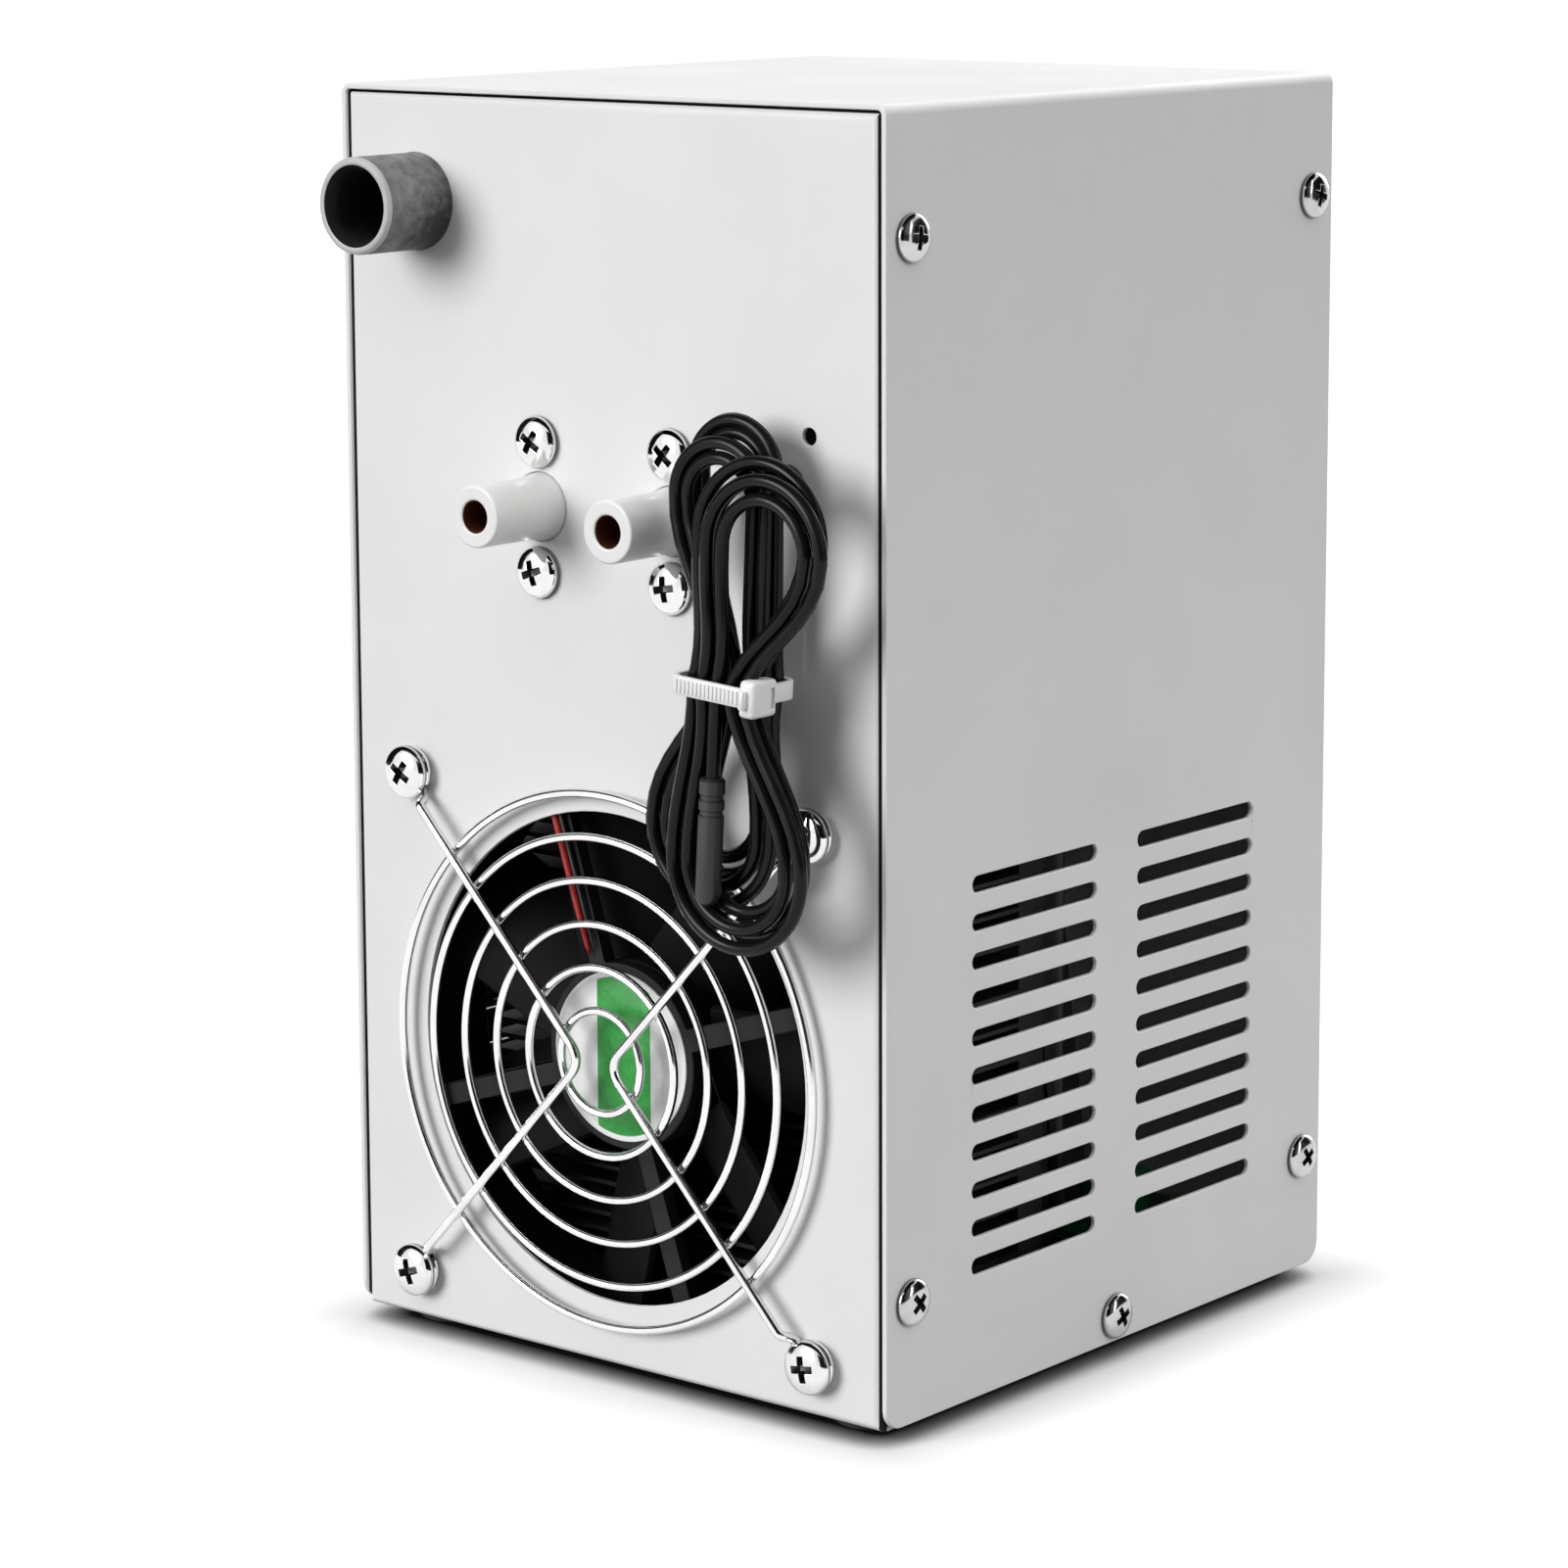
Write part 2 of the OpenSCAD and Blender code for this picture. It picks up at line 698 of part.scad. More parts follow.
module chassis() {
    color("gainsboro") difference() {
        translate([0, mid_y, foot_h]) difference() {
            bent_block(chassis_w, case_d, chassis_h, bend_r);
            translate([0, 0, sheet])
                bent_block(chassis_w - 2 * sheet, case_d - 2 * sheet, chassis_h - 2 * sheet,
                    bend_r - sheet);
            translate([-case_w / 2, flange_w - case_d / 2, base_flange_h])
                cube([case_w, case_d - 2 * flange_w, case_h]);
            for (x = [-1, 1], y = [-1, 1]) translate([x * foot_x, y * foot_y, -over])
                cylinder(d = foot_stem_d + hole_gap, h = sheet + 2 * over);
            for (x = [-1, 1]) translate([x * bracket_x, bracket_hole_y - mid_y, -over])
                cylinder(d = bracket_screw_d + slip_gap, h = sheet + 2 * over);
        }
        for (p = cover_screw_places) translate([-case_w / 2, mid_y + p.x, foot_h + p.y])
            rotate([0, 90, 0]) cylinder(d = cover_screw_d + hole_gap, h = case_w);
        on_fan_panel(0, 0) translate([0, 0, -sheet - over]) {
            translate([0, fan_z, 0]) {
                cylinder(d = opening_d, h = sheet + 2 * over, $fn = 96);
                for (x = [-1, 1], y = [-1, 1]) translate([x * guard_half, y * guard_half, 0])
                    cylinder(d = guard_screw_d + hole_gap, h = sheet + 2 * over);
            }
            for (x = [-1, 1]) translate([x * stub_pitch / 2, stub_z, 0]) {
                cylinder(d = stub_root_d + hole_gap, h = sheet + 2 * over);
                for (y = [-1, 1]) translate([0, y * stub_screw_pitch / 2, 0])
                    cylinder(d = stub_screw_d + hole_gap, h = sheet + 2 * over);
            }
            translate([-sleeve_x, sleeve_z, 0])
                cylinder(d = socket_d + hole_gap, h = sheet + 2 * over);
            translate([spare_hole_x, spare_hole_z, 0])
                cylinder(d = spare_hole_d, h = sheet + 2 * over);
        }
        in_hank() translate([hank_end_x, 0, exit_z]) rotate([90, 0, 0])
            translate([0, 0, -sheet - over])
                cylinder(d = grommet_neck_d + hole_gap, h = sheet + 2 * over);
        on_front_panel(0, thermo_z) translate([0, 0, -sheet - over])
            linear_extrude(sheet + 2 * over) square([thermo_w + hole_gap, thermo_h + hole_gap], true);
    }
}

module cover() {
    color("whitesmoke") difference() {
        intersection() {
            translate([0, front_y, foot_h]) rotate([90, 0, 0])
                linear_extrude(case_d) arch(case_w, case_h, cover_bend_r);
            translate([0, mid_y, foot_h + case_h]) rotate([90, 0, 90])
                linear_extrude(case_w, center = true)
                    mirror([0, 1]) arch(case_d, case_h - cover_lift, cover_corner_r);
        }
        translate([0, front_y + over, foot_h - over]) rotate([90, 0, 0])
            linear_extrude(case_d + 2 * over)
                arch(case_w - 2 * sheet, case_h - sheet + over, cover_bend_r - sheet);
        translate([-case_w / 2 - over, mid_y, foot_h]) rotate([90, 0, 90])
            linear_extrude(case_w + 2 * over) {
                for (x = [-1, 1], i = [0:slot_rows - 1])
                    translate([x * slot_x, slot_z + i * slot_pitch]) slot(slot_len, slot_h);
                for (p = cover_screw_places) translate(p) circle(d = cover_screw_d + hole_gap);
            }
    }
}

module cover_screws() {
    color("silver") for (s = [-1, 1], p = cover_screw_places) on_side(s, p.x, p.y)
        pan_screw(cover_head_d, cover_head_h, cover_screw_d, cover_screw_len);
}

module rivet_nuts() {
    color("silver") for (s = [-1, 1], p = cover_screw_places) on_side(s, p.x, p.y)
        translate([0, 0, -2 * sheet - seam - rivet_nut_len])
            ring(rivet_nut_d, cover_screw_d + slip_gap, rivet_nut_len);
}

module rubber_feet() {
    color("dimgray") for (x = [-1, 1], y = [-1, 1]) translate([x * foot_x, mid_y + y * foot_y, 0]) {
        cylinder(d = foot_d, h = foot_h);
        cylinder(d = foot_stem_d, h = foot_h + sheet + foot_collar_h);
        translate([0, 0, foot_h + sheet]) cylinder(d = foot_collar_d, h = foot_collar_h);
    }
}

// Fan

module fan_frame() {
    color("black") in_fan() {
        difference() {
            union() {
                for (z = [0, fan_depth - fan_flange_t]) translate([0, 0, z])
                    linear_extrude(fan_flange_t) rounded_rect(fan_size, fan_size, fan_corner_r);
                cylinder(d = (fan_size + fan_bore_d) / 2, h = fan_depth, $fn = 96);
            }
            translate([0, 0, -over]) cylinder(d = fan_bore_d, h = fan_depth + 2 * over, $fn = 96);
            for (x = [-1, 1], y = [-1, 1]) translate([x * guard_half, y * guard_half, -over])
                cylinder(d = fan_hole_d, h = fan_depth + 2 * over);
            rotate(strut_angle) translate([0, -lead_notch_w / 2, plate_top])
                cube([fan_size, lead_notch_w, hub_recess + over]);
        }
        for (a = [0:90:270]) rotate(strut_angle + a)
            translate([hub_d / 2 - over, -strut_w / 2, plate_low])
                cube([(fan_size + fan_bore_d) / 4 - hub_d / 2 + over, strut_w, hub_t]);
        translate([0, 0, plate_low]) cylinder(d = hub_d, h = hub_t);
        difference() {
            translate([0, 0, tube_low]) cylinder(d = tube_d, h = plate_low - tube_low);
            translate([0, 0, tube_low - over])
                cylinder(d = bearing_d + 2 * seat_gap, h = plate_low - tube_low + over);
        }
    }
}

// Curved blade that reaches along +X, thickness upwards, about the middle of the rotor's depth
module blade() {
    rise = sqrt(blade_arc_r * blade_arc_r - blade_chord * blade_chord / 4);
    rotate([90, 0, 90]) linear_extrude(fan_bore_d / 2) rotate(blade_pitch) translate([0, -rise])
        intersection() {
            difference() {
                circle(blade_arc_r);
                circle(blade_arc_r - blade_t);
            }
            translate([-blade_chord / 2, 0]) square([blade_chord, 2 * blade_arc_r]);
        }
}

module fan_rotor() {
    cup_r = hub_d / 2;
    color([0.13, 0.13, 0.14]) in_fan() {
        difference() {
            union() {
                translate([0, 0, rotor_low]) cylinder(r = cup_r, h = rotor_top - rotor_low);
                intersection() {
                    translate([0, 0, rotor_low])
                        cylinder(d = fan_bore_d - 2 * tip_gap, h = rotor_top - rotor_low, $fn = 96);
                    for (i = [0:blades - 1]) rotate(i * 360 / blades)
                        translate([cup_r - blade_root, 0, (rotor_low + rotor_top) / 2]) blade();
                }
            }
            translate([0, 0, rotor_low + cup_floor]) cylinder(r = cup_r - cup_wall, h = fan_depth);
        }
        translate([0, 0, rotor_low + cup_floor])
            ring(boss_d, shaft_d + 2 * seat_gap, boss_len);
    }
}

module fan_shaft() {
    color("silver") in_fan() translate([0, 0, rotor_low + cup_floor])
        cylinder(d = shaft_d, h = rotor_top - rotor_low - cup_floor);
}

module fan_magnet() {
    outer = hub_d - 2 * (cup_wall + seat_gap);
    color("dimgray") in_fan() translate([0, 0, rotor_top - magnet_len])
        ring(outer, outer - 2 * magnet_t, magnet_len);
}

module fan_bearings() {
    color("silver") in_fan() for (z = [tube_low, plate_low - bearing_len]) translate([0, 0, z])
        ring(bearing_d, shaft_d + 2 * shaft_gap, bearing_len);
}

module fan_stator() {
    color("peru") in_fan() translate([0, 0, stator_low]) difference() {
        union() {
            cylinder(d = stator_d / 2, h = stator_len);
            for (a = [0:90:270]) rotate(a) translate([0, -pole_w / 2, 0])
                cube([stator_d / 2 - pole_tip, pole_w, stator_len]);
            intersection() {
                ring(stator_d, stator_d - 2 * pole_tip, stator_len);
                for (a = [0, 90]) rotate(a) translate([-stator_d / 2, -pole_w, 0])
                    cube([stator_d, 2 * pole_w, stator_len]);
            }
        }
        translate([0, 0, -over]) cylinder(d = tube_d + 2 * seat_gap, h = stator_len + 2 * over);
    }
}

module fan_label() {
    color("limegreen") in_fan() translate([0, 0, plate_top]) cylinder(d = label_d, h = label_t);
}

// Lead from the hub along a strut, over the frame, between the hoses and down to the board
module fan_lead(shift) {
    reach = max(fan_size / 2, sink_z + sink_h / 2 - fan_z) + 2 * fan_lead_d;
    start = (label_d + fan_lead_d) / 2;
    face_y = fan_back_y - plate_top - fan_lead_d / 2 - lead_gap;
    out_x = reach / tan(strut_angle) - shift / sin(strut_angle);
    top_z = foot_h + fan_z + reach;
    cross_z = top_z + lead_d + 2 * shift;
    end_x = terminal_x + shift;
    tube(routed([
        [start * cos(strut_angle) - shift * sin(strut_angle), face_y,
            foot_h + fan_z + start * sin(strut_angle) + shift * cos(strut_angle)],
        [out_x, face_y, top_z],
        [-shift, sink_back_y, cross_z],
        [-shift, lead_back_y, cross_z],
        [end_x, lead_back_y, cross_z],
        [end_x, lead_back_y, terminal_z],
        [end_x, terminal_y, terminal_z]], lead_turn / 2), fan_lead_d, lead_sides);
}

module fan_lead_red() {
    color("red") fan_lead((fan_lead_d + lead_gap) / 2);
}

module fan_lead_black() {
    color([0.1, 0.1, 0.1]) fan_lead(-(fan_lead_d + lead_gap) / 2);
}

// Fan guard

// One V-shaped spoke to the right, from eye to eye
module spoke() {
    translate([spoke_gap, 0, spoke_plane]) sphere(d = spoke_wire * joint_share);
    for (s = [-1, 1]) {
        run = unit([guard_half - spoke_gap, s * guard_half, 0]);
        eye = [guard_half, s * guard_half, eye_z];
        low = eye - eye_r * run;
        foot = low - spoke_step / 2 * run;
        high = [foot.x, foot.y, spoke_plane] - spoke_step / 2 * run;
        rod([spoke_gap, 0, spoke_plane], high, spoke_wire);
        rod(high, foot, spoke_wire);
        rod(foot, low, spoke_wire);
        for (p = [high, foot]) translate(p) sphere(d = spoke_wire * joint_share);
        translate(eye) rotate_extrude() translate([eye_r, 0]) circle(d = eye_wire);
    }
}

module fan_guard() {
    color("silver") on_fan_panel(0, fan_z) {
        for (i = [0:rings - 1]) translate([0, 0, guard_stand])
            rotate_extrude($fn = 96) translate([ring_first_d / 2 + i * ring_pitch, 0])
                circle(d = ring_wire);
        for (a = [0, 180]) rotate(a) spoke();
    }
}

module guard_screws() {
    color("silver") on_fan_panel(0, fan_z) for (x = [-1, 1], y = [-1, 1])
        translate([x * guard_half, y * guard_half, eye_wire + 2 * seat_gap])
            pan_screw(guard_head_d, guard_head_h, guard_screw_d, guard_screw_len);
}

// Heat sink and modules

module heat_sink() {
    color("lightgray") translate([0, sink_y, foot_h + sink_z]) difference() {
        rotate([90, 0, 90]) linear_extrude(sink_w, center = true) {
            translate([fin_len, -sink_h / 2]) square([sink_base, sink_h]);
            for (i = [0:fins - 1]) translate([0, i * fin_pitch - sink_h / 2])
                square([fin_len + over, fin_t]);
        }
        for (x = [-1, 1], z = [-1, 1]) translate([x * clamp_x, fin_len + sink_base + over, z * clamp_z])
            rotate([90, 0, 0]) cylinder(d = clamp_screw_d + slip_gap, h = clamp_depth + over + seat_gap);
        for (x = [-1, 1])
            translate([x * bracket_x, fin_len + sink_base + over, sheet + bracket_hole_z - sink_z])
                rotate([90, 0, 0])
                    cylinder(d = bracket_screw_d + slip_gap, h = clamp_depth + over + seat_gap);
    }
}

module sink_brackets() {
    color("silver") for (x = [-1, 1]) translate([x * bracket_x, sink_back_y, foot_h + sheet])
        difference() {
            union() {
                translate([-bracket_w / 2, 0, 0]) cube([bracket_w, bracket_foot, bracket_t]);
                translate([-bracket_w / 2, 0, 0]) cube([bracket_w, bracket_t, bracket_h]);
            }
            translate([0, bracket_hole_y - sink_back_y, -over])
                cylinder(d = bracket_screw_d + hole_gap, h = bracket_t + 2 * over);
            translate([0, bracket_t + over, bracket_hole_z]) rotate([90, 0, 0])
                cylinder(d = bracket_screw_d + hole_gap, h = bracket_t + 2 * over);
        }
}

module bracket_screws() {
    color("silver") for (x = [-1, 1]) translate([x * bracket_x, 0, foot_h + sheet]) {
        translate([0, bracket_hole_y, bracket_t])
            pan_screw(bracket_head_d, bracket_head_h, bracket_screw_d, bracket_t + sheet);
        translate([0, sink_back_y + bracket_t, bracket_hole_z]) rotate([-90, 0, 0])
            pan_screw(bracket_head_d, bracket_head_h, bracket_screw_d, bracket_t + clamp_depth);
    }
}

module thermo_modules() {
    color("white") for (z = [-1, 1])
        translate([-module_size / 2, sink_back_y, foot_h + sink_z + z * module_step - module_size / 2])
            cube([module_size, module_t, module_size]);
}

// Foam frame round the modules, with a notch for their leads
module module_gasket() {
    opening_h = 2 * module_step + module_size + slip_gap;
    color([0.2, 0.2, 0.22]) translate([0, block_y, foot_h + sink_z]) rotate([90, 0, 0])
        linear_extrude(module_t) difference() {
            square([block_w, block_h], center = true);
            square([module_size + slip_gap, opening_h], center = true);
            for (x = [-1, 1], z = [-1, 1]) translate([x * clamp_x, z * clamp_z])
                circle(d = clamp_screw_d + 2 * hole_gap);
            translate([module_lead_x - module_lead_d / 2 - slip_gap, -block_h / 2 - over])
                square([module_lead_step + module_lead_d + 2 * slip_gap, block_h / 2]);
        }
}

// Lead from the lower module under the insulation cap to the board's terminals
module module_lead(x) {
    start_z = foot_h + sink_z - module_step - module_size / 2;
    y = sink_back_y + module_t / 2;
    low_z = foot_h + (sheet + block_low_z - foam_t) / 2;
    tube(routed([[x, y, start_z], [x, y, low_z], [x, lead_back_y, low_z],
        [x, lead_back_y, terminal_z], [x, terminal_y, terminal_z]], lead_turn / 2),
        module_lead_d, lead_sides);
}

module module_lead_red() {
    color("red") module_lead(module_lead_x);
}

module module_lead_black() {
    color([0.1, 0.1, 0.1]) module_lead(module_lead_x + module_lead_step);
}

// Water path

module water_block() {
    top = block_h / 2;
    cross_z = nipple_seat + channel_d - block_h / 2;
    color("lightgray") translate([0, block_mid_y, foot_h + sink_z]) difference() {
        cube([block_w, block_t, block_h], center = true);
        for (x = [-1, 1]) translate([x * stub_pitch / 2, 0, 0]) {
            translate([0, 0, cross_z]) cylinder(d = channel_d, h = block_h);
            translate([0, 0, top - nipple_seat])
                cylinder(d = nipple_d + 2 * seat_gap, h = nipple_seat + over);
        }
        translate([-stub_pitch / 2, 0, cross_z]) rotate([0, 90, 0])
            cylinder(d = channel_d, h = stub_pitch);
        for (x = [-1, 1], z = [-1, 1]) translate([x * clamp_x, block_t / 2 + over, z * clamp_z])
            rotate([90, 0, 0]) cylinder(d = clamp_screw_d + hole_gap, h = block_t + 2 * over);
    }
}

module block_nipples() {
    color("silver") for (x = [-1, 1])
        translate([x * stub_pitch / 2, block_mid_y, foot_h + block_top_z - nipple_seat])
            ring(nipple_d, channel_d, nipple_seat + nipple_len);
}

module clamp_screws() {
    color("silver") for (x = [-1, 1], z = [-1, 1])
        translate([x * clamp_x, block_back_y, foot_h + sink_z + z * clamp_z]) rotate([-90, 0, 0])
            pan_screw(clamp_head_d, clamp_head_h, clamp_screw_d, clamp_len);
}

// Foam cap over the block's back and sides, open towards the heat sink
module insulation_cap() {
    color([0.25, 0.25, 0.27]) translate([0, 0, foot_h + sink_z]) difference() {
        translate([-block_w / 2 - foam_t, block_y, -block_h / 2 - foam_t])
            cube([block_w + 2 * foam_t, block_t + foam_t, block_h + 2 * foam_t]);
        translate([-block_w / 2, block_y - over, -block_h / 2]) cube([block_w, block_t + over, block_h]);
        for (x = [-1, 1], z = [-1, 1]) translate([x * clamp_x, block_back_y - over, z * clamp_z])
            rotate([-90, 0, 0])
                cylinder(d = clamp_head_d + hole_gap, h = clamp_head_h + slip_gap + over);
        for (x = [-1, 1]) translate([x * stub_pitch / 2, block_mid_y, block_h / 2 - over])
            cylinder(d = hose_d + hole_gap, h = foam_t + 2 * over);
    }
}

// Solid path of a hose from the stub's flange to the block, at the diameter d
module hose_path(d, extra) {
    straight = hose_turn_y - stub_back_y - hose_end_gap;
    drop = hose_turn_z - block_top_z - hose_end_gap;
    translate([0, hose_turn_y, hose_turn_z]) {
        translate([0, 0, hose_bend_r]) rotate([90, 0, 0]) cylinder(d = d, h = straight + extra);
        rotate([0, 90, 0]) rotate([0, 0, 90])
            rotate_extrude(angle = 90) translate([hose_bend_r, 0]) circle(d = d);
        translate([0, hose_bend_r, -drop - extra]) cylinder(d = d, h = drop + extra);
    }
}

module inner_hoses() {
    color([0.85, 0.85, 0.8]) for (x = [-1, 1]) translate([x * stub_pitch / 2, 0, foot_h])
        difference() {
            hose_path(hose_d, 0);
            hose_path(hose_bore_d, over);
        }
}

module hose_clip() {
    ring(hose_d + 2 * (seat_gap + clip_t), hose_d + 2 * seat_gap, clip_w);
    for (x = [-1, 1]) translate([x * clip_t - clip_t / 4, hose_d / 2 + clip_t, 0])
        cube([clip_t / 2, clip_ear, clip_w]);
    translate([-clip_lock_w / 2, hose_d / 2 + clip_t / 2, 0]) cube([clip_lock_w, clip_t, clip_w]);
}

module hose_clips() {
    color("silver") for (x = [-1, 1]) translate([x * stub_pitch / 2, 0, foot_h]) {
        translate([0, stub_back_y + clip_seat, stub_z]) rotate([-90, 180, 0]) hose_clip();
        translate([0, block_mid_y, block_top_z + foam_t + hose_end_gap]) hose_clip();
    }
}

// Hose stub with its screw flange and its inner nipple
module hose_stub(side) {
    on_fan_panel(side * stub_pitch / 2, stub_z) difference() {
        union() {
            cylinder(d = stub_d, h = stub_len);
            cylinder(d1 = stub_root_d, d2 = stub_d, h = stub_root_len);
            translate([0, 0, -sheet]) cylinder(d = stub_root_d, h = sheet);
            translate([0, 0, -sheet - stub_flange_t]) linear_extrude(stub_flange_t)
                rounded_rect(stub_flange_w, stub_flange_h, stub_flange_t);
            translate([0, 0, -sheet - stub_flange_t - nipple_len])
                cylinder(d = nipple_d, h = nipple_len + over);
        }
        translate([0, 0, -sheet - stub_flange_t]) cylinder(d = stub_bore_d, h = stub_len * 2);
        translate([0, 0, -sheet - stub_flange_t - nipple_len - over])
            cylinder(d = channel_d, h = nipple_len + 2 * over);
        for (y = [-1, 1]) translate([0, y * stub_screw_pitch / 2, -sheet - stub_flange_t - over])
            cylinder(d = stub_screw_d + hole_gap, h = stub_flange_t + 2 * over);
    }
}

module hose_stub_left() {
    color("white") hose_stub(-1);
}

module hose_stub_right() {
    color("white") hose_stub(1);
}

module at_stub_screws() {
    for (x = [-1, 1], z = [-1, 1])
        on_fan_panel(x * stub_pitch / 2, stub_z + z * stub_screw_pitch / 2) children();
}

module stub_screws() {
    color("silver") at_stub_screws()
        pan_screw(stub_head_d, stub_head_h, stub_screw_d, sheet + stub_flange_t + stub_nut_h);
}

module stub_nuts() {
    color("silver") at_stub_screws() translate([0, 0, -sheet - stub_flange_t - stub_nut_h])
        difference() {
            cylinder(d = stub_nut_d, h = stub_nut_h, $fn = 6);
            translate([0, 0, -over]) cylinder(d = stub_screw_d + slip_gap, h = stub_nut_h + 2 * over);
        }
}

// Power inlet

module power_sleeve() {
    color("gray") on_fan_panel(-sleeve_x, sleeve_z) difference() {
        union() {
            cylinder(d = sleeve_d, h = sleeve_len);
            cylinder(d = sleeve_collar_d, h = sleeve_collar_len);
        }
        translate([0, 0, -over]) {
            cylinder(d = sleeve_bore_d, h = sleeve_len + 2 * over);
            cylinder(d = sleeve_seat_d, h = socket_flange_t + over);
        }
    }
}

module power_socket() {
    color([0.1, 0.1, 0.1]) on_fan_panel(-sleeve_x, sleeve_z) {
        difference() {
            union() {
                cylinder(d = sleeve_seat_d - hole_gap, h = socket_flange_t);
                translate([0, 0, -socket_len]) cylinder(d = socket_d, h = socket_len);
            }
            translate([0, 0, -socket_len * socket_depth_share])
                cylinder(d = socket_bore_d, h = socket_len + socket_flange_t);
        }
        translate([0, 0, -socket_len]) cylinder(d = socket_pin_d, h = socket_len);
    }
}

module socket_nut() {
    color("silver") on_fan_panel(-sleeve_x, sleeve_z) translate([0, 0, -sheet - socket_nut_t])
        difference() {
            cylinder(d = socket_nut_d, h = socket_nut_t, $fn = 6);
            translate([0, 0, -over]) cylinder(d = socket_d + slip_gap, h = socket_nut_t + 2 * over);
        }
}

module power_lead() {
    start_y = panel_y + socket_len;
    z = foot_h + sleeve_z;
    color([0.1, 0.1, 0.1]) tube(routed([[-sleeve_x, start_y, z], [-sleeve_x, fan_back_y + lead_turn, z],
        [power_lead_x, lead_back_y, z], [power_lead_x, lead_back_y, terminal_z],
        [power_lead_x, terminal_y, terminal_z]], lead_turn), lead_d, lead_sides);
}

// Power board

module power_board() {
    color("darkgreen") translate([0, power_board_y, foot_h + power_board_z]) difference() {
        translate([-power_board_w / 2, -power_board_d / 2, 0])
            cube([power_board_w, power_board_d, board_t]);
        for (x = [-1, 1], y = [-1, 1]) translate([x * standoff_x,
            y * (power_board_d / 2 - standoff_inset), -over])
            cylinder(d = standoff_d / 2 + slip_gap, h = board_t + 2 * over);
    }
}

module board_standoffs() {
    color("gold") for (x = [-1, 1], y = [-1, 1]) translate([x * standoff_x,
        power_board_y + y * (power_board_d / 2 - standoff_inset), foot_h + sheet]) {
        cylinder(d = standoff_d, h = standoff_h);
        cylinder(d = standoff_d / 2, h = standoff_h + board_t + slip_gap);
        translate([0, 0, standoff_h + board_t]) cylinder(d = standoff_d, h = board_t);
    }
}

module board_relay() {
    color("royalblue") translate([relay_x - relay_size.x / 2, power_board_y - relay_size.y / 2,
        foot_h + power_top_z]) cube([relay_size.x, relay_size.y, relay_h]);
}

module board_capacitor() {
    color([0.15, 0.15, 0.3]) translate([cap_x, power_board_y, foot_h + power_top_z])
        cylinder(d = cap_d, h = cap_h);
}

module board_terminals() {
    color("seagreen") translate([terminal_x - terminal_size.x / 2, terminal_y, foot_h + power_top_z])
        cube([terminal_size.x, terminal_size.y, terminal_h]);
}

// Thermostat

module thermostat_case() {
    inner_w = thermo_w - 2 * thermo_wall;
    inner_h = thermo_h - 2 * thermo_wall;
    rib_top = -board_depth - board_t;
    color([0.15, 0.15, 0.16]) on_front_panel(0, thermo_z) {
        difference() {
            union() {
                linear_extrude(bezel_t) rounded_rect(bezel_w, bezel_h, bezel_t);
                translate([0, 0, -thermo_len]) linear_extrude(thermo_len + over)
                    square([thermo_w, thermo_h], center = true);
            }
            translate([0, 0, thermo_wall - thermo_len])
                linear_extrude(thermo_len + bezel_t - key_wall - thermo_wall)
                    square([inner_w, inner_h], center = true);
            translate([-window_shift, 0, bezel_t - window_t]) linear_extrude(window_t + over)
                square([window_w + slip_gap, window_h + slip_gap], center = true);
            translate([-window_shift, 0, 0]) linear_extrude(bezel_t)
                square([window_w - 2 * window_lip, window_h - 2 * window_lip], center = true);
            for (p = key_places) translate([p.x, p.y, 0]) cylinder(d = key_d + hole_gap, h = bezel_t + over);
        }
        for (x = [-1, 1]) translate([x * (inner_w - rib) / 2, 0, rib_top - rib])
            linear_extrude(rib) square([rib + over, inner_h + over], center = true);
    }
}

module thermostat_clips() {
    color("orange") on_front_panel(0, thermo_z) for (x = [-1, 1])
        translate([x * (thermo_w / 2 + slip_gap + lug.x / 2), 0, -sheet - lug.z / 2])
            cube(lug, center = true);
}

module display_window() {
    color([0.3, 0.05, 0.05]) on_front_panel(0, thermo_z)
        translate([-window_shift - window_w / 2, -window_h / 2, bezel_t - window_t])
            cube([window_w, window_h, window_t]);
}

module digit_display() {
    color([0.1, 0.1, 0.1]) on_front_panel(0, thermo_z)
        translate([-window_shift - display_w / 2, -display_h / 2, -board_depth])
            cube([display_w, display_h, board_depth + bezel_t - window_t - slip_gap]);
}

module control_board() {
    inner_w = thermo_w - 2 * thermo_wall;
    inner_h = thermo_h - 2 * thermo_wall;
    color("darkgreen") on_front_panel(0, thermo_z) translate([0, 0, -board_depth - board_t])
        linear_extrude(board_t) square([inner_w - 2 * slip_gap, inner_h - 2 * slip_gap], center = true);
}

module key_switches() {
    color("silver") on_front_panel(0, thermo_z) for (p = key_places)
        translate([p.x, p.y, -board_depth]) difference() {
            translate([-switch_size / 2, -switch_size / 2, 0])
                cube([switch_size, switch_size, switch_h]);
            translate([0, 0, switch_h - switch_bore])
                cylinder(d = key_stem_d + 2 * slip_gap, h = switch_bore + over);
        }
}

// Push button with a rim behind the bezel and a stem in its switch
module button(place) {
    rim_top = bezel_t - key_wall - slip_gap;
    stem_low = switch_h - switch_grip - board_depth;
    on_front_panel(0, thermo_z) translate([place.x, place.y, 0]) {
        translate([0, 0, rim_top - key_rim_t])
            cylinder(d = key_d, h = bezel_t + key_proud - rim_top + key_rim_t);
        translate([0, 0, rim_top - key_rim_t]) cylinder(d = key_d + 2 * key_rim, h = key_rim_t);
        translate([0, 0, stem_low]) cylinder(d = key_stem_d, h = rim_top - stem_low);
    }
}

module button_set() {
    color("lightgray") button(key_places[0]);
}

module button_power() {
    color("tomato") button(key_places[1]);
}

module button_down() {
    color("lightgray") button(key_places[2]);
}

module button_up() {
    color("lightgray") button(key_places[3]);
}

